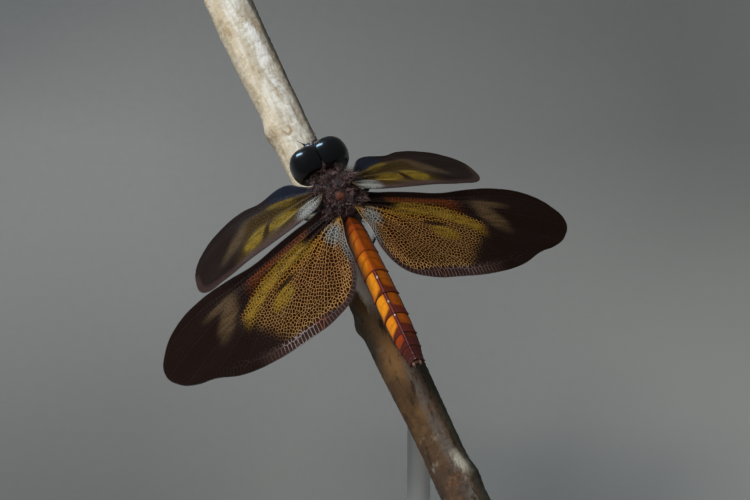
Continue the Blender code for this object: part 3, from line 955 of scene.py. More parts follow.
def fore_marks(make):
    """Masks of the forewing's marks, in its chart."""
    u, v, out, across = wing_chart(make)
    windows = 0.5 * make.patch(out, across, (0.31, 0.024), (0.115, 0.018), 10)
    windows = windows.above(make.patch(out, across, (0.28, -0.066), (0.115, 0.026), -2))
    windows = windows.above(make.patch(out, across, (0.475, -0.085), (0.080, 0.042), -22))
    # Painted sheen: a dark blue sheen near the front margin, in the inner half of the wing.
    blue_line = 0.17 * (u - 0.05) - 0.004
    return {
        "gold": make.smooth(out, 0.66, 0.54) * make.smooth(across, 0.055, 0.035),
        "bright": windows,
        "lens": make.patch(u, v, (0.390, -0.075), (0.018, 0.070), 14),
        "red": make.patch(out, across, (0.27, -0.028), (0.13, 0.012), 0),
        "root": make.smooth(u, 0.10, 0.04) * make.smooth(v, -0.055, -0.03),
        "costa": make.smooth(v, 0.0, 0.01) * make.smooth(u, 0.16, 0.10),
        "blue": make.smooth(v - blue_line, -0.004, 0.010) * make.smooth(u, 0.47, 0.40),
        "tan": 0.7 * make.patch(out, across, (0.655, -0.045), (0.095, 0.042), -42, 0.6),
        "silver": make.patch(out, across, (0.06, -0.085), (0.075, 0.040), -8, 0.5),
        "rim": make.smooth(make.value("rim"), 1.0, 0.4) * make.smooth(v, -0.08, -0.12),
        "u": u,
        "v": v,
    }


MARKS = {"hind": hind_marks, "fore": fore_marks}


def membrane_finish(kind):
    make = Finish("wing_membrane_" + kind)
    marks = MARKS[kind](make)
    dots = make.cells(110, vector=make.chart_vector())
    streaks = make.smooth(make.grain(14, 3, 0.6, make.stretched_chart((1.0, 5.0, 0.0))), 0.38, 0.62)
    hind = kind == "hind"
    bright = marks["bright"] * (1 - 0.55 * make.smooth(dots, 0.34, 0.20)) * (0.35 + 0.65 * streaks)
    colour = make.layers(
        (0.0095, 0.0050, 0.0035),
        (marks["gold"], (0.018, 0.0050, 0.0008) if hind else (0.018, 0.010, 0.0015)),
        (marks["red"], (0.032, 0.008, 0.002) if hind else (0.050, 0.031, 0.003)),
        (bright, (0.165, 0.092, 0.008) if hind else (0.165, 0.105, 0.008)),
        (0.75 * marks["tan"] * (0.5 + 0.5 * streaks), (0.100, 0.062, 0.030)),
        (marks["lens"], (0.022, 0.009, 0.003)),
        (marks["rim"], (0.026, 0.014, 0.011)),
        (marks["silver"], (0.045, 0.044, 0.040)),
        (marks["root"].above(marks["costa"]), (0.006, 0.003, 0.002)),
        (marks["blue"], (0.0065, 0.0075, 0.013)),
    )
    dust = make.smooth(make.chart_grain(30, 3), 0.55, 0.75)
    colour = make.mix(0.5 * dust, colour, (0.02, 0.012, 0.012))
    clear = (0.55 * marks["silver"]).above(0.16 * marks["bright"])
    height = make.grain(700, 2) * 0.3 + make.pebbles(90, make.chart_vector())
    return make.principled(
        Base_Color=colour,
        Roughness=0.40 + 0.10 * marks["gold"],
        Specular_IOR_Level=0.03,
        Coat_Weight=0.01,
        Coat_Roughness=0.25,
        Alpha=1 - clear,
        Normal=make.bump(height, 0.35, 0.00004),
    )


def vein_finish(kind):
    make = Finish("wing_vein_" + kind)
    marks = MARKS[kind](make)
    u, v = marks["u"], marks["v"]
    hind = kind == "hind"
    sheen = make.smooth(make.chart_grain(60, 2), 0.35, 0.7)
    glint = make.patch(u, v, (0.375, -0.335), (0.115, 0.045), 6, 0.3)
    left = make.smooth(make.split(make.position())[0], 0.0, -0.001)
    main = make.value("main")
    dark = (0.016, 0.009, 0.008)
    warm = make.smooth(make.chart_grain(16, 2), 0.40, 0.60)
    if hind:
        net = make.mix(sheen, (0.21, 0.116, 0.034), (0.42, 0.245, 0.088))
        net = make.mix(0.5 * warm * make.smooth(u - v, 0.62, 0.35), net, (0.38, 0.140, 0.040))
        net = make.mix(0.7 * make.smooth(v, -0.13, -0.05), net, (0.42, 0.210, 0.020))
        gold = make.mix(sheen, (0.18, 0.100, 0.010), (0.33, 0.205, 0.026))
    else:
        net = make.mix(sheen, (0.046, 0.026, 0.008), (0.095, 0.058, 0.018))
        gold = make.mix(sheen, (0.130, 0.080, 0.009), (0.24, 0.155, 0.022))
    colour = make.layers(
        (0.018, 0.010, 0.009),
        (marks["gold"], net),
        (marks["red"], (0.15, 0.038, 0.008) if hind else (0.085, 0.052, 0.007)),
        (marks["bright"], gold),
        (0.65 * marks["tan"], (0.145, 0.092, 0.046)),
        (marks["lens"], (0.03, 0.018, 0.008)),
        (marks["rim"], (0.075, 0.045, 0.040)),
        (marks["silver"], (0.27, 0.265, 0.245)),
        (0.75 * main * make.smooth(marks["silver"], 0.8, 0.3), dark),
        (marks["root"].above(marks["costa"]), dark),
        (marks["blue"], (0.013, 0.015, 0.022)),
    )
    if hind:
        shine = glint * (0.2 + 0.8 * left) * make.smooth(make.value("rim"), 1.25, 1.0)
        pale = make.mix(make.smooth(u, 0.33, 0.29), (0.40, 0.315, 0.300), (0.42, 0.13, 0.06))
        colour = make.mix(0.75 * shine * (0.35 + 0.65 * sheen), colour, pale)
    return make.principled(
        Base_Color=colour,
        Roughness=0.42 - 0.10 * sheen,
        Specular_IOR_Level=0.22,
        Coat_Weight=0.05,
        Normal=make.bump(make.grain(2500, 2), 0.2, 0.00002),
    )


def build_wings():
    plans = {kind: WingPlan(kind) for kind in OUTLINES}
    membranes = {kind: membrane_finish(kind) for kind in OUTLINES}
    veins = {kind: vein_finish(kind) for kind in OUTLINES}
    for name, (kind, side, root, droop, sweep, twist) in WINGS.items():
        where = place((root, (twist, side * droop, side * sweep)))
        plate = membrane_mesh(plans[kind], side)
        finished(name + "_membrane", plate, where, membranes[kind], [name])
        lines = vein_mesh(plans[kind], side, veins[kind])
        finished(name + "_veins", lines, where, veins[kind])


# ---------------------------------------------------------------- abdomen

RING_COLUMNS = 96
CERCUS_PATH = ((0.27, 0.10, 0.10), (0.31, -0.15, 0.13), (0.34, -0.38, 0.10), (0.30, -0.62, 0.03))
PLAIN_RINGS = 4  # the first rings, which have no dark line along their keel
ORANGE_RINGS = 7
KEEL_RIDGE = 0.035  # height of the fine ridge along the keel of the later rings
HEM_CORNER, HEM_ARCH, HEM_TEETH = 0.10, 0.28, 0.02  # how far these reach back along a ring's hem
# Where along its keel each of the later rings has a painted highlight: a pale sparkle.
KEEL_SPARKLES = {5: 0.30, 6: 0.42, 7: 0.12, 8: 0.05, 9: 0.9, 10: 0.9}
# Size of a ring along its length, as a share of its width: neck, body with its cross ridge,
# the flared rim over the next ring, and the rim's inside.
RING_PROFILE = (
    (-0.06, 0.90), (-0.02, 0.925), (0.015, 0.948), (0.04, 0.960), (0.08, 0.974), (0.13, 0.986),
    (0.20, 0.995), (0.28, 1.0), (0.335, 1.0), (0.36, 1.008), (0.38, 1.012), (0.40, 1.008),
    (0.425, 1.0), (0.50, 1.0), (0.58, 1.0), (0.66, 1.0), (0.74, 1.0), (0.81, 1.002),
    (0.87, 1.004), (0.92, 1.010), (0.96, 1.018), (0.985, 1.023), (1.0, 1.024), (1.012, 1.016),
    (1.014, 1.00), (1.0, 0.98), (0.97, 0.94),
)
# Looks of each ring: left flank, right flank (painted darker than the left, as shade on the side away
# from the light), how far back the flank's patch reaches, and band.
RING_LOOKS = {
    1: ((0.20, 0.045, 0.008), (0.18, 0.040, 0.007), 1.1, (0.12, 0.028, 0.007)),
    2: ((0.36, 0.080, 0.012), (0.32, 0.060, 0.008), 1.1, (0.20, 0.036, 0.006)),
    3: ((0.50, 0.145, 0.012), (0.34, 0.070, 0.006), 1.04, (0.24, 0.045, 0.008)),
    4: ((0.62, 0.195, 0.010), (0.38, 0.085, 0.006), 1.02, (0.24, 0.045, 0.008)),
    5: ((0.78, 0.290, 0.016), (0.36, 0.090, 0.007), 0.86, (0.12, 0.022, 0.010)),
    6: ((0.80, 0.305, 0.013), (0.34, 0.080, 0.006), 0.78, (0.11, 0.020, 0.011)),
    7: ((0.74, 0.250, 0.012), (0.34, 0.075, 0.006), 0.68, (0.10, 0.018, 0.011)),
    8: ((0.31, 0.050, 0.008), (0.10, 0.022, 0.009), 0.58, (0.070, 0.016, 0.013)),
    9: ((0.11, 0.023, 0.012), (0.075, 0.018, 0.013), 0.35, (0.066, 0.017, 0.015)),
    10: ((0.09, 0.024, 0.018), (0.070, 0.019, 0.016), 0.35, (0.060, 0.018, 0.016)),
}


def ring_section(width, height):
    """Points round a ring, keel first: across, up, and share of the way from keel to belly."""
    half = smooth_path([(x * width / 2, z * height) for x, z in RING_SECTION], RING_COLUMNS // 2 + 1)
    right = np.column_stack([half, np.linspace(0, 1, len(half))])
    left = right[-2:0:-1] * (-1, 1, 1)
    return np.vstack([right, left])


def ring_mesh(number):
    length, width, height = RINGS[number - 1]
    _, next_width, next_height = RINGS[min(number, len(RINGS) - 1)]
    start = sum(ring[0] for ring in RINGS[: number - 1])
    rows, charts = [], []
    for s, size in RING_PROFILE:
        t = min(max(s, 0), 1)
        size = 1 + (size - 1) * (0.5 if number <= PLAIN_RINGS else 1.0)
        section = ring_section(width + (next_width - width) * t, height + (next_height - height) * t)
        x, z, share = section.T
        corner = hump(share - 0.53, 0.05) * max(0.0, (s - 0.8) / 0.2)
        keel = hump(share, 0.018) * (KEEL_RIDGE if number > PLAIN_RINGS else 0.0)
        arch = HEM_ARCH * ramp(share, 0.5) ** 2
        teeth = HEM_TEETH * np.abs(np.sin(70 * share)) * (s > 0.99)
        back = start + s * length + HEM_CORNER * corner + teeth + arch
        rows.append(np.stack([x * (size + 0.075 * corner), -back, z * size + keel], 1))
        charts.append(np.stack([x / (0.5 * width), s + 0 * x, share], 1))
    return closed_tube(rows, charts)


def ring_finish(number):
    left, right, reach, band = RING_LOOKS[number]
    keeled = number > PLAIN_RINGS
    make = Finish(f"ring_{number}")
    x, s, share = make.chart()
    wander = make.grain(1400, 2) - 0.5
    side = make.smooth(x + 0.3 * wander, -0.12, 0.12)
    late = s + 0.10 * wander - (0.55 - 0.35 * side) * (share - 0.12) + 0.13 * side
    mottle = make.smooth(make.grain(2600, 3), 0.35, 0.70)
    # The right flank's darker colour is painted shade, on the side away from the light.
    flank = make.mix(side, left, right)
    deep = make.mix(side, (0.62 * left[0], 0.42 * left[1], 0.5 * left[2]), [0.6 * c for c in right])
    core = make.patch(s + 0.08 * wander, share, (0.42, 0.30), (0.46, 0.20), 0, 0.5)
    flank = make.mix((1 - core).above(0.35 * mottle), flank, deep)
    near_keel = 0.045 if keeled else 0.004
    patch = make.smooth(late, reach + 0.06, reach - 0.12)
    patch = patch * make.smooth(share + 0.02 * wander, near_keel, near_keel + 0.03)
    patch = patch * make.smooth(share + 0.04 * wander, 0.53, 0.46)
    arc = make.smooth(abs(s - 0.37 - 1.2 * share * share), 0.085, 0.02)
    arc = arc * (0.55 if number in (3, 4) else 0.15)
    beside_keel = make.smooth(abs(share - 0.045), 0.028, 0.012)
    keel = make.smooth(share, 0.022, 0.012)
    colour = make.layers(
        band,
        (patch, flank),
        (arc, [0.45 * c for c in right]),
        (beside_keel * (0.7 if keeled else 0.0), [0.6 * c for c in band]),
        (keel * (0.9 if keeled else 0.0), (0.15, 0.050, 0.060)),
        (make.smooth(share, 0.47, 0.53) * 0.8, (0.055, 0.018, 0.014)),
        (make.smooth(share, 0.56, 0.66), (0.045, 0.018, 0.010)),
        (make.smooth(s, 0.965, 0.99) * (0.75 if keeled else 0.45), (0.060, 0.020, 0.014)),
        (make.smooth(s, 0.045, 0.01) * (0.75 if keeled else 0.35), (0.070, 0.022, 0.012)),
    )
    # Painted highlights: fine pale sparkles near the keel.
    sparkle_flecks = make.smooth(make.cells(5200), 0.14, 0.07) * make.smooth(share, 0.16, 0.02)
    colour = make.mix(0.4 * sparkle_flecks, colour, (0.45, 0.36, 0.34))
    if keeled:
        # A painted highlight: a pale sparkle on the keel.
        centre = (KEEL_SPARKLES[number], 0.010)
        speck = make.patch(s + 0.25 * wander, share, centre, (0.045, 0.020), 0, 0.6)
        strength = 0.75 if number <= ORANGE_RINGS else 0.35
        colour = make.mix(strength * speck, colour, (0.62, 0.52, 0.52))
    height = make.grain(9000, 2) * 0.5 + make.pebbles(5200)
    return make.principled(
        Base_Color=colour,
        Roughness=0.38 - 0.16 * make.smooth(share, 0.07, 0.02),
        Specular_IOR_Level=0.25,
        Coat_Weight=0.10 + 0.40 * make.smooth(share, 0.08, 0.03) - 0.08 * make.smooth(share, 0.35, 0.5),
        Coat_Roughness=0.20,
        Normal=make.bump(height, 0.35, 0.00004),
    )


def build_abdomen():
    line = place((ABDOMEN_START, (ABDOMEN_DROOP, -ABDOMEN_ROLL, 0)))
    for number in range(1, len(RINGS) + 1):
        name = f"abdomen_ring_{number}"
        finished(name + "_shell", ring_mesh(number), line, ring_finish(number), [name])
    end = -sum(ring[0] for ring in RINGS)
    tail = clouded_finish(
        "tail_tip",
        (2500, 3, 0.35, 0.65),
        (0.17, 0.070, 0.055),
        (0.34, 0.20, 0.16),
        (6000, 0.3, 0.00003),
        Roughness=0.4,
        Coat_Weight=0.2,
    )
    for side, word in SIDES:
        path = [(side * x, end + y, z) for x, y, z in CERCUS_PATH]
        horn = limb(smooth_path(path, 16), (0.12, 0.17, 0.15, 0.04), 16)
        finished(f"cercus_{word}_horn", horn, line, tail, [f"cercus_{word}"])
    plates = [
        ball((x, end - back, z), radii, rows=20, columns=28)
        for x, back, z, radii in (
            (0, 0.05, 0.12, (0.20, 0.28, 0.12)),
            (0.20, 0.02, -0.22, (0.20, 0.26, 0.20)),
            (-0.20, 0.02, -0.22, (0.20, 0.26, 0.20)),
        )
    ]
    finished("tail_plates", joined(plates), line, tail)


# ---------------------------------------------------------------- head


def eye_mesh(side):
    centre = (side * EYE_CENTRE[0], *EYE_CENTRE[1:])
    mesh = ball(centre, EYE_RADII, 2.25, rows=90, columns=120)
    points = points_of(mesh)
    chart = (points - centre) / EYE_RADII
    points[:, 0] = side * np.maximum(side * points[:, 0], EYE_SEAM)
    points[:, 1] = np.maximum(points[:, 1], EYE_BACK)
    set_points(mesh, points)
    store(mesh, "chart", chart)
    return outward(mesh)


def eye_finish():
    make = Finish("eye")
    _, _, z = make.chart()
    facets = make.cells(11000)
    low = make.smooth(z + 0.25 * (make.grain(500, 2) - 0.5), -0.1, -0.75)
    colour = make.layers(
        (0.0022, 0.0024, 0.0024),
        (0.8 * low, (0.012, 0.014, 0.012)),
        (make.smooth(facets, 0.55, 0.30) * 0.25, (0.010, 0.011, 0.014)),
    )
    return make.principled(
        Base_Color=colour,
        Roughness=0.30,
        Specular_IOR_Level=0.20,
        Coat_Weight=0.75,
        Coat_Roughness=0.09,
        Normal=make.bump(facets, 0.12, 0.00002),
    )


# Capsule, brow, muzzle, two lips, vertex, occiput, cheeks and jaws, as balls() takes them.
HEAD_FORMS = (
    ((0, 1.95, -0.6), (1.35, 1.95, 2.0), 2.3, False),
    ((0, 3.15, 0.35), (1.15, 1.00, 0.85), 2.4, False),
    ((0, 3.20, -0.65), (1.10, 0.90, 0.95), 2.0, False),
    ((0, 2.85, -1.65), (1.05, 0.90, 0.80), 2.0, False),
    ((0, 1.95, -2.10), (1.10, 1.25, 0.62), 2.0, False),
    ((0, 3.10, 1.35), (0.40, 0.45, 0.50), 2.0, False),
    ((0, 0.75, 1.35), (0.42, 0.40, 0.45), 2.0, False),
    ((1.0, 0.62, 0.2), (1.15, 0.36, 1.35), 2.0, True),
    ((0.85, 2.35, -1.75), (0.45, 0.75, 0.55), 2.0, True),
)
ANTENNA_PATH = (
    (0.40, 3.62, 0.72), (0.55, 3.92, 0.80), (0.72, 4.25, 0.86), (0.90, 4.52, 0.84), (1.05, 4.72, 0.76),
)
ANTENNA_GIRTH = (0.15, 0.17, 0.13, 0.15, 0.12, 0.05, 0.042, 0.036, 0.030, 0.024, 0.016)
# Seams across the face: how far down, how much they bow, and how deep they are.
FACE_SEAMS = ((0.16, 0.10, 0.07), (1.22, 0.14, 0.07), (1.98, 0.10, 0.08))


def head_skin():
    mesh = moulded(balls(HEAD_FORMS), HEAD_VOXEL, 5)
    points, normals = points_of(mesh), normals_of(mesh)
    x, y, z = points.T
    front = ramp(y - 1.6, 0.6)
    seams = sum(depth * hump(z + down - bow * x**2, 0.05) * front for down, bow, depth in FACE_SEAMS)
    furrow = 0.10 * hump(x, 0.10) * hump(z - 0.75, 0.5) * front
    set_points(mesh, points - normals * (seams + furrow)[:, None])
    store(mesh, "chart", points_of(mesh))
    return mesh


def head_finish():
    make = Finish("head")
    _, y, z = make.chart()
    tone = make.smooth(make.grain(900, 3), 0.35, 0.68)
    face = make.smooth(y, 2.5, 3.1)
    colour = make.layers(
        make.mix(tone, (0.040, 0.025, 0.024), (0.090, 0.058, 0.055)),
        (face * make.smooth(z, 0.35, -0.4), make.mix(tone, (0.10, 0.052, 0.022), (0.17, 0.10, 0.045))),
        (face * make.smooth(z, -1.5, -1.9), (0.035, 0.020, 0.016)),
        (make.smooth(z, 0.15, 0.5) * face, (0.020, 0.018, 0.028)),
    )
    height = make.grain(5000, 3) + 0.6 * make.pebbles(4200)
    return make.principled(
        Base_Color=colour,
        Roughness=0.40 - 0.10 * tone,
        Coat_Weight=0.3,
        Coat_Roughness=0.2,
        Normal=make.bump(height, 0.4, 0.00004),
    )


def build_head(chitin):
    where = place((HEAD_PIVOT, (0, 0, HEAD_YAW)))
    black = eye_finish()
    for side, word in SIDES:
        finished(f"eye_{word}_dome", eye_mesh(side), where, black, [f"eye_{word}"])
    skin = head_skin()
    shell = head_finish()
    coat_on_head(skin, where)
    finished("head_skin", skin, where, shell, ["head"])
    beads = [
        ball(spot, (size, size, size), rows=16, columns=24)
        for *spot, size in ((0, 3.50, 1.45, 0.13), (0.34, 3.22, 1.62, 0.11), (-0.34, 3.22, 1.62, 0.11))
    ]
    amber = clouded_finish(
        "ocelli",
        (1800, 2, 0.3, 0.7),
        (0.16, 0.09, 0.04),
        (0.30, 0.20, 0.10),
        Roughness=0.08,
        Coat_Weight=0.5,
    )
    finished("ocelli", joined(beads), where, amber)
    for side, word in SIDES:
        path = [(side * x, y, z) for x, y, z in ANTENNA_PATH]
        feeler = limb(smooth_path(path, 40), ANTENNA_GIRTH, 14)
        finished(f"antenna_{word}_feeler", feeler, where, chitin, [f"antenna_{word}"])


# ---------------------------------------------------------------- thorax

# The forms round the thorax's barrel, as balls() takes them.
THORAX_FORMS = (
    ((0, -0.3, -0.85), (2.05, 2.45, 1.20), 3.0, False),
    ((0, 3.15, -2.2), (1.30, 1.00, 1.40), 2.0, False),
    ((0, 2.78, -1.15), (1.15, 0.42, 0.75), 2.3, False),
    ((1.35, 1.45, -0.85), (0.85, 1.20, 0.85), 2.2, True),
    ((0.62, 0.80, 0.02), (0.62, 0.95, 0.42), 2.2, True),
    ((-0.05, -0.36, 0.22), (0.56, 0.54, 0.40), 2.1, False),
    ((0.52, -1.22, 0.02), (0.52, 0.58, 0.36), 2.1, True),
    ((0, -1.75, 0.02), (0.34, 0.30, 0.30), 2.0, False),
    ((0, -2.42, -0.42), (0.98, 0.28, 0.58), 2.2, False),
    ((1.48, 1.50, -0.06), (0.55, 0.62, 0.30), 2.0, True),
    ((1.62, -1.40, -0.06), (0.55, 0.70, 0.30), 2.0, True),
    ((1.55, 0.10, -0.25), (0.42, 0.55, 0.35), 2.0, True),
    ((0.85, 2.05, -4.55), (0.52, 0.55, 0.55), 2.0, True),
    ((0.95, 1.15, -4.75), (0.52, 0.50, 0.50), 2.0, True),
    ((0.95, 0.25, -4.80), (0.52, 0.55, 0.45), 2.0, True),
)


def thorax_skin():
    barrel = ball((0, 0.3, -2.9), (2.25, 2.75, 2.80), 2.4, -0.30)
    mesh = moulded([barrel, *balls(THORAX_FORMS)], THORAX_VOXEL, 6)
    points, normals = points_of(mesh), normals_of(mesh)
    x, y, z = points.T
    flank = ramp(np.abs(x) - 1.0, 0.5) * ramp(-0.6 - z, 0.5)
    slope = y + 0.50 * (z + 2.9)
    grooves = sum(hump(slope - centre, 0.07) for centre in (1.65, 0.25, -1.05))
    top = ramp(z + 0.7, 0.5)
    middle = hump(x, 0.07) * ramp(y - 0.15, 0.2) * top
    cross = hump(y + 0.82, 0.09) * top
    dent = 0.07 * grooves * flank + 0.10 * middle + 0.10 * cross
    rough = np.array([
        noise.noise(Vector(p) * 2.6) + 0.6 * noise.noise(Vector(p) * 6.0) for p in points
    ])
    set_points(mesh, points + normals * (0.05 * rough * (0.4 + 0.6 * top) - dent)[:, None])
    store(mesh, "chart", points_of(mesh))
    return mesh


def thorax_finish():
    make = Finish("thorax")
    x, y, z = make.chart()
    tone = make.smooth(make.grain(700, 4, 0.65), 0.36, 0.66)
    top = make.smooth(z, -1.0, -0.2)
    knob = make.patch(x, y, (-0.05, -0.36), (0.52, 0.50), 0, 0.22) * make.smooth(z, 0.0, 0.2)
    plate = make.smooth(y, -2.25, -2.42) * make.smooth(z, -1.2, -0.9)
    stripe = make.smooth(abs(y + 0.50 * (z + 2.9) - 0.95), 0.45, 0.30) * make.smooth(abs(x), 1.2, 1.8)
    stripe = stripe * make.smooth(z, -0.9, -1.3)
    colour = make.layers(
        make.mix(tone, (0.010, 0.0055, 0.0055), (0.036, 0.021, 0.020)),
        (0.5 * stripe, (0.085, 0.050, 0.025)),
        (0.45 * top * tone, (0.050, 0.031, 0.030)),
        (make.smooth(make.grain(1500, 2), 0.58, 0.66) * 0.7, (0.007, 0.004, 0.005)),
        (knob, make.mix(tone, (0.050, 0.016, 0.009), (0.095, 0.034, 0.020))),
        (plate, (0.020, 0.009, 0.010)),
    )
    height = make.grain(4500, 3) + 0.8 * make.pebbles(2600)
    return make.principled(
        Base_Color=colour,
        Roughness=0.55 - 0.25 * plate,
        Specular_IOR_Level=0.20,
        Coat_Weight=0.04,
        Coat_Roughness=0.25,
        Normal=make.bump(height, 0.5, 0.00006),
    )


def scattered(mesh, count, keep, seed):
    """Random places on a skin with their normals, where keep(points) is high enough."""
    mesh.calc_loop_triangles()
    corners = np.array([tri.vertices[:] for tri in mesh.loop_triangles])
    points, normals = points_of(mesh), normals_of(mesh)
    a, b, c = (points[corners[:, i]] for i in range(3))
    area = np.linalg.norm(np.cross(b - a, c - a), axis=1) * keep((a + b + c) / 3)
    rng = np.random.RandomState(seed)
    chosen = rng.choice(len(corners), count, p=area / area.sum())
    share = rng.dirichlet((1, 1, 1), count)
    spots = sum(share[:, i, None] * points[corners[chosen, i]] for i in range(3))
    lean = sum(share[:, i, None] * normals[corners[chosen, i]] for i in range(3))
    return spots, unit_rows(lean), rng


def unwrapped(spots, centre, low, high):
    """Places of skin points on the skin's unwrap round its long axis, inside a narrow border."""
    turn = np.arctan2(spots[:, 0] - centre[0], spots[:, 2] - centre[1]) / (2 * math.pi) + 0.5
    along = np.clip((spots[:, 1] - low) / (high - low), 0, 1)
    return np.stack([0.02 + 0.96 * turn, 0.02 + 0.96 * along, 0 * turn], 1)


def hair_finish(name, dark, pale):
    return clouded_finish(
        name,
        (1600, 2, 0.42, 0.62),
        dark,
        pale,
        (9000, 0.2, 0.00001),
        Roughness=0.45,
        Coat_Weight=0.15,
    )


def coat_on_thorax(skin, where):
    """Curly hair over the back, longer on the shoulders."""
    def keep(p):
        back = np.clip((p[:, 2] + 1.6) / 1.2, 0.10, 1)
        knob = np.hypot(p[:, 0] + 0.05, p[:, 1] + 0.36) < 0.60
        plate = (p[:, 1] < -2.1) & (p[:, 2] > -1.2)
        return np.where(knob | plate, 0.02, back)

    spots, lean, rng = scattered(skin, THORAX_HAIRS, keep, SEED)
    side = np.sign(spots[:, :1]) * (1, 0, 0)
    swept = lean * 0.9 + side * 0.35 + np.array((0, -0.45, 0.15))
    lies = unit_rows(swept + rng.normal(0, 0.45, spots.shape))
    lengths = rng.uniform(0.40, 0.90, len(spots)) * np.where(spots[:, 1] > 1.6, 1.15, 1.0)
    places = unwrapped(spots, (0, -2.4), -2.8, 4.2)
    fur = hair_finish("thorax_hair", (0.009, 0.0045, 0.004), (0.20, 0.118, 0.106))
    strand = strand_mesh(8.0, 8)
    mesh = hair_mesh(spots - HAIR_SUNK * lean, lies, lengths, 0.040, places, strand, fur)
    finished("thorax_coat", mesh, where, fur)


def coat_on_head(skin, where):
    """Short stiff hair on the face and behind the eyes."""
    def keep(p):
        face = (p[:, 1] > 2.6) & (p[:, 2] < 0.4)
        behind = p[:, 1] < 0.55
        return np.where(face, 1.0, np.where(behind, 0.8, 0.02))

    spots, lean, rng = scattered(skin, HEAD_HAIRS, keep, SEED + 1)
    lies = unit_rows(lean + np.array((0, 0.1, -0.35)) + rng.normal(0, 0.25, spots.shape))
    lengths = rng.uniform(0.25, 0.50, len(spots))
    places = unwrapped(spots, (0, -0.4), 0.0, 4.3)
    fur = hair_finish("head_hair", (0.03, 0.02, 0.018), (0.10, 0.07, 0.06))
    strand = strand_mesh(2.5, 6)
    mesh = hair_mesh(spots - HAIR_SUNK * lean, lies, lengths, 0.016, places, strand, fur)
    finished("head_coat", mesh, where, fur)


def build_thorax():
    where = place()
    skin = thorax_skin()
    coat_on_thorax(skin, where)
    finished("thorax_skin", skin, where, thorax_finish(), ["thorax", "neck"])


# ---------------------------------------------------------------- twig and legs

# Bumps on the bark: place along the twig, angle from its top towards +X, height, half length.
TWIG_BUMPS = (
    (14.0, -70, 0.45, 1.3), (16.5, 80, 0.08, 1.6), (-10.0, -85, 0.38, 1.0),
    (-29.5, 60, 0.30, 1.3), (-23.0, 170, 0.45, 1.6),
)
KNOT = (-0.95, 12.9)  # a scar on the pale bark, across and along
LICHEN = (0.37, -28.5)  # a pale patch on the brown bark


def twig_radius(y, angle):
    radius = TWIG_RADIUS * (1 + 0.03 * math.sin(2 * angle + 0.17 * y) + 0.02 * math.sin(0.31 * y))
    for centre, turn, height, reach in TWIG_BUMPS:
        facing = max(0.0, math.cos(angle - math.radians(turn))) ** 3
        radius += height * math.exp(-(((y - centre) / reach) ** 2)) * facing
    return radius


def round_twig(y, angle, reach):
    """The point this far from the twig's axis, at an angle from its top towards +X."""
    return TWIG_X + reach * math.sin(angle), y, TWIG_Z + reach * math.cos(angle)


def on_twig(y, angle, height):
    return Vector(round_twig(y, angle, twig_radius(y, angle) + height))


def bark_relief(y, angle):
    """Height of the bark over the plain twig: long ribs, wrinkles and pits."""
    way = Vector((2.2 * math.sin(angle), 2.2 * math.cos(angle), 0.18 * y))
    long_rib = noise.noise(way * 1.1)
    wrinkle = noise.noise(Vector((1.4 * math.sin(angle), 1.4 * math.cos(angle), 1.1 * y)) * 2.2)
    fine = noise.noise(Vector((math.sin(angle), math.cos(angle), 0.45 * y)) * 9.0)
    return 0.09 * long_rib + 0.05 * wrinkle + 0.03 * fine


def twig_mesh(rows=440, columns=170):
    places = np.linspace(TWIG_REAR, TWIG_FRONT, rows)
    ends = [(TWIG_REAR, s) for s in (0.35, 0.7, 0.93)] + [(y, 1.0) for y in places]
    ends += [(TWIG_FRONT, s) for s in (0.93, 0.7, 0.35)]
    grid = []
    for y, share in ends:
        near_end = min(abs(y - TWIG_REAR), abs(y - TWIG_FRONT))
        round_off = 1 - 0.05 * math.exp(-near_end / 0.12)
        row = []
        for j in range(columns):
            angle = 2 * math.pi * j / columns
            reach = (twig_radius(y, angle) + bark_relief(y, angle)) * share * round_off
            row.append(round_twig(y, angle, reach))
        grid.append(row)
    return closed_tube(grid, grid)


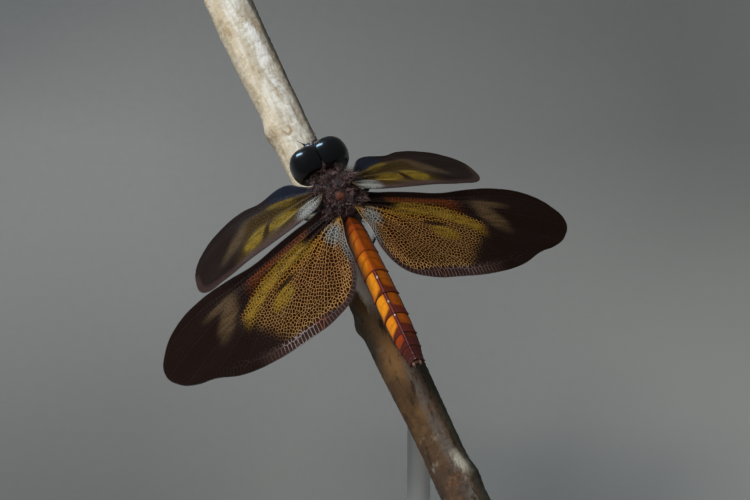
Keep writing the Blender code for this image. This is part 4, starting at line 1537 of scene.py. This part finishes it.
def twig_finish():
    make = Finish("bark")
    x, y, z = make.chart()
    stretched = make.stretched_chart((1.0, 0.30, 1.0))
    wide = make.chart_grain(0.35, 3, 0.6)
    blotch = make.grain(1.1, 4, 0.6, stretched)
    fibre = make.grain(5.0, 4, 0.65, stretched)
    speck = make.cells(3.4, vector=make.chart_vector())
    beside = x - TWIG_X + 0.9 * (blotch - 0.5)
    left_side = make.smooth(beside + 1.6 * (blotch - 0.5), -0.5, -1.3)
    early = 3.4 * left_side + 3 * (wide - 0.5) + 2.0 * (fibre - 0.5)
    rear = make.smooth(y - early, -7.6, -11.0)
    knot_x = x + 0.5 * (fibre - 0.5)
    knot_y = y + 1.4 * (blotch - 0.5)
    crest = 0.8 * make.smooth(abs(beside - 0.7), 0.7, 0.2) * make.smooth(wide, 0.42, 0.56)
    knot_heart = make.patch(knot_x, knot_y, (KNOT[0] - 0.16, KNOT[1] + 0.20), (0.33, 0.42), 20, 0.5)
    pale = make.layers(
        (0.37, 0.325, 0.250),
        (make.smooth(blotch, 0.46, 0.64), (0.53, 0.50, 0.435)),
        (0.6 * make.smooth(beside, -0.2, -1.5), (0.45, 0.345, 0.215)),
        (crest, (0.62, 0.605, 0.57)),
        (0.7 * make.smooth(blotch, 0.43, 0.33), (0.27, 0.185, 0.10)),
        (0.4 * make.smooth(fibre, 0.60, 0.74), (0.36, 0.26, 0.15)),
        # Painted shade: darker grey along the right side of the twig, away from the light.
        (0.85 * make.smooth(beside, 1.55, 2.0), (0.110, 0.100, 0.080)),
        # Painted light: paler bark on the left side from 2.5 mm behind the wing roots, lifting the
        # shadow that the abdomen and wings cast there.
        (0.85 * make.smooth(y, -2.5, -5.0) * make.smooth(beside, 0.6, -0.2), (0.74, 0.64, 0.56)),
        (0.8 * make.patch(knot_x, knot_y, KNOT, (0.50, 0.62), 20, 0.35), (0.21, 0.125, 0.045)),
        (knot_heart, (0.46, 0.40, 0.30)),
    )
    grey_streak = 0.8 * make.smooth(abs(beside - 0.35), 0.95, 0.35) * make.smooth(fibre, 0.30, 0.55)
    lichen_x, lichen_y = x + 0.9 * (fibre - 0.5), y + 2.5 * (blotch - 0.5)
    lichen = make.patch(lichen_x, lichen_y, LICHEN, (0.50, 1.30), 12, 0.7)
    scales = make.smooth(make.chart_grain(0.42, 4, 0.6), 0.60, 0.70) * make.smooth(fibre, 0.35, 0.55)
    brown = make.layers(
        (0.066, 0.036, 0.017),
        (0.8 * make.smooth(wide, 0.46, 0.62) * make.smooth(beside, 0.3, -0.6), (0.105, 0.062, 0.025)),
        (grey_streak, (0.098, 0.085, 0.073)),
        (0.75 * make.smooth(y, -25.5, -30.0) * make.smooth(beside, 0.5, -0.3), (0.040, 0.022, 0.014)),
        (0.85 * make.patch(beside, y, (-0.6, -12.4), (1.1, 4.2), 0, 0.7), (0.235, 0.118, 0.042)),
        (0.8 * make.smooth(blotch, 0.46, 0.36), (0.024, 0.016, 0.010)),
        (0.6 * make.smooth(wide, 0.58, 0.68) * make.smooth(fibre, 0.45, 0.6), (0.14, 0.060, 0.022)),
        (0.5 * make.smooth(fibre, 0.60, 0.72), (0.034, 0.025, 0.014)),
        (0.85 * make.smooth(beside, 0.95, 1.6), (0.036, 0.037, 0.026)),
        (lichen * (0.6 + 0.4 * make.smooth(fibre, 0.35, 0.55)), (0.31, 0.285, 0.225)),
        (0.6 * scales, (0.20, 0.17, 0.125)),
    )
    bark = make.layers(
        make.mix(rear, pale, brown),
        (0.6 * make.smooth(speck, 0.12, 0.06), (0.09, 0.07, 0.05)),
    )
    across = ((x - TWIG_X) ** 2.0 + (z - TWIG_Z) ** 2.0).root()
    growth = make.chart_grain(0.9, 2) * 0.5 + across
    rings = (growth * 22.0).sine() * 0.5 + 0.5
    wood = make.layers(
        make.mix(rings, (0.50, 0.38, 0.22), (0.33, 0.22, 0.11)),
        (make.smooth(across, 0.32, 0.22), (0.16, 0.10, 0.06)),
        (make.smooth(across, 1.75, 1.95), (0.10, 0.07, 0.05)),
    )
    middle, half = 0.5 * (TWIG_FRONT + TWIG_REAR), 0.5 * (TWIG_FRONT - TWIG_REAR)
    cut = make.smooth(abs(y - middle), half - 0.04, half - 0.01)
    height = fibre + 0.5 * make.grain(18.0, 3, 0.6, stretched) + 0.4 * speck
    return make.principled(
        Base_Color=make.mix(cut, bark, wood),
        Roughness=0.82,
        Normal=make.bump(height, 0.6, 0.00012),
    )


# Each pair of legs, as the solids have them: hip, knee, and the ankle's and the toe's place on the
# twig, each as degrees from its top and millimetres along it.
LEGS = {
    "front": ((0.70, 2.6, -4.4), (2.45, 4.5, -5.6), 42, 5.3, 66, 6.1),
    "middle": ((0.95, 1.7, -4.6), (3.75, 2.0, -5.4), 52, 2.2, 84, 2.9),
    "hind": ((0.95, 0.7, -4.6), (3.55, -2.3, -5.2), 48, -3.2, 74, -4.1),
}


def leg_finish():
    make = Finish("leg")
    tone = make.smooth(make.grain(1500, 3), 0.35, 0.68)
    return make.principled(
        Base_Color=make.mix(tone, (0.012, 0.010, 0.010), (0.040, 0.028, 0.024)),
        Roughness=0.34,
        Coat_Weight=0.3,
        Coat_Roughness=0.2,
        Normal=make.bump(make.grain(6000, 2) + make.pebbles(5000), 0.35, 0.00003),
    )


def leg_mesh(side, hip, knee, ankle_turn, ankle_y, toe_turn, toe_y):
    """One leg with its hip joint, spines and two claws on the bark."""
    hip = Vector((side * hip[0], hip[1], hip[2]))
    knee = Vector((side * knee[0] + TWIG_X * 0.5, knee[1], knee[2]))
    ankle = on_twig(ankle_y, side * math.radians(ankle_turn), 0.24)
    toe = on_twig(toe_y, side * math.radians(toe_turn), 0.16)
    bend = (knee - hip).cross(ankle - knee).normalized()
    out = bend.cross(knee - hip).normalized() * -1
    femur = [hip.lerp(knee, t) + out * 0.12 * math.sin(math.pi * t) for t in (0, 0.25, 0.5, 0.75, 1)]
    tibia = [knee.lerp(ankle, t) + out * 0.10 * math.sin(math.pi * t) for t in (0, 0.3, 0.6, 1)]
    forms = [
        ball(hip, (0.45, 0.42, 0.45), rows=20, columns=28),
        limb(smooth_path(femur, 36), (0.22, 0.30, 0.31, 0.26, 0.20, 0.21), 18),
        ball(knee, (0.215, 0.215, 0.215), rows=16, columns=24),
        limb(smooth_path(tibia, 40), (0.16, 0.14, 0.125, 0.12, 0.11, 0.135), 14),
        ball(ankle, (0.14, 0.14, 0.14), rows=14, columns=20),
    ]
    stops = np.linspace(0, 1, 25)
    foot = [
        on_twig(
            ankle_y + (toe_y - ankle_y) * t,
            side * math.radians(ankle_turn + (toe_turn - ankle_turn) * t),
            0.24 - 0.08 * t,
        )
        for t in stops
    ]
    girth = [0.085 + 0.03 * abs(math.sin(3 * math.pi * t)) for t in stops]
    forms.append(limb(foot, girth, 12))
    ahead = (toe - ankle).normalized()
    lateral = ahead.cross(toe - Vector((TWIG_X, toe.y, TWIG_Z))).normalized()
    down = (Vector((TWIG_X, toe.y, TWIG_Z)) - toe).normalized()
    for way in (1, -1):
        hook = [
            toe, toe + ahead * 0.16 + lateral * way * 0.10 - down * 0.03,
            toe + ahead * 0.30 + lateral * way * 0.16 + down * 0.04,
            toe + ahead * 0.36 + lateral * way * 0.17 + down * 0.15,
        ]
        forms.append(limb(smooth_path(hook, 14), (0.06, 0.05, 0.035, 0.012), 8))
    rng = np.random.RandomState(SEED + int(10 * abs(toe_turn)))
    for start, end, count, size in ((hip, knee, 11, 0.30), (knee, ankle, 13, 0.62)):
        along = (end - start).normalized()
        inner = along.cross(bend).normalized()
        if inner.dot(Vector((TWIG_X, 0, TWIG_Z)) - start) < 0:
            inner = -inner
        for i in range(count):
            for way in (1, -1):
                t = (i + 1 + 0.3 * way) / (count + 1.5)
                root = start.lerp(end, t)
                aim = (inner * 0.75 + bend * way * 0.65 + along * 0.55).normalized()
                reach = size * rng.uniform(0.8, 1.1)
                path = [root, root + aim * reach * 0.5, root + (aim + along * 0.25) * reach]
                forms.append(limb(smooth_path(path, 6), (0.030, 0.024, 0.008), 5))
    return joined(forms)


def build_legs(chitin):
    where = place()
    for pair, shape in LEGS.items():
        for side, word in SIDES:
            name = f"leg_{pair}_{word}"
            finished(name + "_shell", leg_mesh(side, *shape), where, chitin, [name])


def build_twig():
    finished("perch_bark", twig_mesh(), place(), twig_finish(), ["perch_twig"])


# ---------------------------------------------------------------- stand

# Radius and height along each profile, in millimetres.
ROD_FOOT = (
    (2.45, 3.55), (2.60, 3.62), (2.60, 4.45), (2.52, 4.62), (2.35, 4.70), (1.55, 4.74), (1.30, 4.86),
    (1.2, 5.1),
)
BASE_PROFILE = (
    (15.3, 0.0), (15.75, 0.06), (15.95, 0.28), (16.0, 0.6), (16.0, 2.7), (15.93, 3.05),
    (15.75, 3.32), (15.45, 3.46), (15.1, 3.5), (12.4, 3.5), (12.25, 3.46), (12.1, 3.34),
    (11.95, 3.30), (11.8, 3.34), (11.65, 3.46), (11.5, 3.5), (8.0, 3.5), (4.0, 3.5),
)


def turned(profile, sides):
    """A round solid turned about the upright axis from (radius, height) in millimetres."""
    cosines, sines = circle(sides)
    rows = [
        np.stack([radius * cosines, radius * sines, height + 0 * cosines], 1)
        for radius, height in profile
    ]
    return closed_tube(rows, rows)


def build_stand():
    make = Finish("rod_steel")
    _, _, z = make.chart()
    lines = make.node("ShaderNodeCombineXYZ", None, {2: z * 30.0})
    brushed = make.grain(6.0, 3, 0.7, lines)
    steel = make.principled(
        Base_Color=make.mix(brushed, (0.50, 0.50, 0.50), (0.66, 0.66, 0.65)),
        Metallic=1.0,
        Roughness=0.26 + 0.14 * brushed,
        Normal=make.bump(brushed, 0.15, 0.00002),
    )
    shaft = [(1.2, 5.1 + (ROD_REACH - 6.3) * t) for t in np.linspace(0.02, 1, 30)]
    rod = turned((*ROD_FOOT, *shaft), 64)
    finished("stand_rod_steel", rod, TO_METRES, steel, ["stand_rod"])
    make = Finish("base_plastic")
    leather = make.pebbles(1.9, make.chart_vector()) + 0.5 * make.chart_grain(5.0, 3, 0.6)
    worn = make.smooth(make.chart_grain(0.25, 4, 0.6), 0.35, 0.7)
    plastic = make.principled(
        Base_Color=make.mix(worn, (0.42, 0.42, 0.41), (0.50, 0.50, 0.485)),
        Roughness=0.50 + 0.12 * worn,
        Normal=make.bump(leather, 0.25, 0.00005),
    )
    base = turned(BASE_PROFILE, 160)
    finished("stand_base_plastic", base, TO_METRES, plastic, ["stand_base"])


# ---------------------------------------------------------------- floor, light and camera

VIEW_AZIMUTH, VIEW_ELEVATION = -23.97, 45.0
VIEW_DISTANCE = 0.6
VIEW_WIDTH = 0.075  # width of what the camera takes in at the animal
VIEW_OFFSET = (3.56, -5.53)  # of the view's middle from the wing roots, right and up
SENSOR = 36.0
FLOOR = 3.0  # half the floor's width in metres
PAINTED_LIGHT_AWAY = 0.045  # how far behind the stand the floor's painted light and shade are centred
PAINTED_LIGHT_REACH = 0.03  # and how far they grow to the sides


def view_axes():
    azimuth, elevation = math.radians(VIEW_AZIMUTH), math.radians(VIEW_ELEVATION)
    flat = math.cos(elevation)
    back = Vector((math.sin(azimuth) * flat, -math.cos(azimuth) * flat, math.sin(elevation)))
    turn = back.to_track_quat("Z", "Y")
    return turn, turn @ Vector((1, 0, 0)), turn @ Vector((0, 1, 0)), back


def build_camera():
    turn, right, up, back = view_axes()
    middle = TO_METRES @ BODY.translation + (right * VIEW_OFFSET[0] + up * VIEW_OFFSET[1]) * 0.001
    lens = bpy.data.cameras.new("view")
    lens.sensor_width = SENSOR
    lens.lens = SENSOR * VIEW_DISTANCE / VIEW_WIDTH
    lens.clip_start = 0.01
    lens.clip_end = 20
    camera = loose("view", lens)
    camera.location = middle + back * VIEW_DISTANCE
    camera.rotation_euler = turn.to_euler()
    bpy.context.scene.camera = camera


def soft_light(name, direction, distance, size, power, colour, roll=0.0, shine=True):
    """A rectangular soft light that faces the animal from this direction."""
    target = TO_METRES @ BODY.translation
    away = Vector(direction).normalized()
    lamp = bpy.data.lights.new(name, "AREA")
    lamp.shape = "RECTANGLE"
    lamp.size, lamp.size_y = size
    lamp.energy = power
    lamp.color = colour
    light = loose(name, lamp)
    light.visible_glossy = shine
    light.location = target + away * distance
    turn = away.to_track_quat("Z", "Y") @ Euler((0, 0, math.radians(roll))).to_quaternion()
    light.rotation_euler = turn.to_euler()


def build_lights():
    _, right, up, back = view_axes()
    window = right * -0.635 + up * 0.773 + back * -0.048
    high = right * -0.52 + up * 0.68 + back * 0.52
    soft_light("window", window, 0.5, (0.12, 0.26), 1.8, (0.52, 0.77, 1.0), 20)
    soft_light("overhead", high, 0.9, (0.55, 0.55), 11.5, (1.0, 0.985, 0.96), shine=False)
    soft_light("front", (-0.35, -0.8, 0.75), 0.9, (0.5, 0.5), 1.0, (1.0, 0.98, 0.95), shine=False)
    world = bpy.data.worlds.new("room")
    world.use_nodes = True
    background = world.node_tree.nodes["Background"]
    background.inputs["Color"].default_value = (0.80, 0.83, 0.86, 1)
    background.inputs["Strength"].default_value = 0.10
    bpy.context.scene.world = world
    bpy.context.scene.view_settings.view_transform = "Standard"


def build_floor():
    """A sheet that the stand rests on, wide enough to fill every view, with light and shade painted on
    it.
    """
    corners = [(FLOOR * x, FLOOR * y, 0) for x, y in ((-1, -1), (1, -1), (1, 1), (-1, 1))]
    floor = loose("floor", mesh_of(corners, [(0, 1, 2, 3)]))
    make = Finish("floor")
    x, y, _ = make.split(make.position())
    turn = math.radians(VIEW_AZIMUTH)
    away = y * math.cos(turn) - x * math.sin(turn) + 0.02 * (make.grain(18, 2) - 0.5)
    across = x * math.cos(turn) + y * math.sin(turn)
    # Painted light and shade: darker far away and to the left, lighter to the right.
    shade = make.smooth(away, 0.13, 0.04) * 0.85 + 3.5 * across + make.grain(900, 2) * 0.12
    tone = 0.064 + 0.076 * shade.above(0.0).below(1.0)
    side = across.above(-PAINTED_LIGHT_REACH).below(PAINTED_LIGHT_REACH)
    near = (PAINTED_LIGHT_AWAY - away).above(-PAINTED_LIGHT_REACH).below(PAINTED_LIGHT_REACH)
    beyond = (across * across + (away - PAINTED_LIGHT_AWAY) * (away - PAINTED_LIGHT_AWAY)).root()
    # More painted light and shade round the stand: darker at its near left and far right, lighter at
    # its near right and far left.
    tone = tone * (1 + 340 * side * near * make.smooth(beyond, 0.09, 0.045))
    colour = make.mix((tone - 0.05) / 0.14, (0.054, 0.051, 0.047), (0.205, 0.198, 0.182))
    floor.data.materials.append(make.principled(Base_Color=colour, Roughness=0.85))


build_wings()
leg_chitin = leg_finish()
build_abdomen()
build_head(leg_chitin)
build_thorax()
build_legs(leg_chitin)
build_twig()
build_stand()
build_floor()
build_lights()
build_camera()
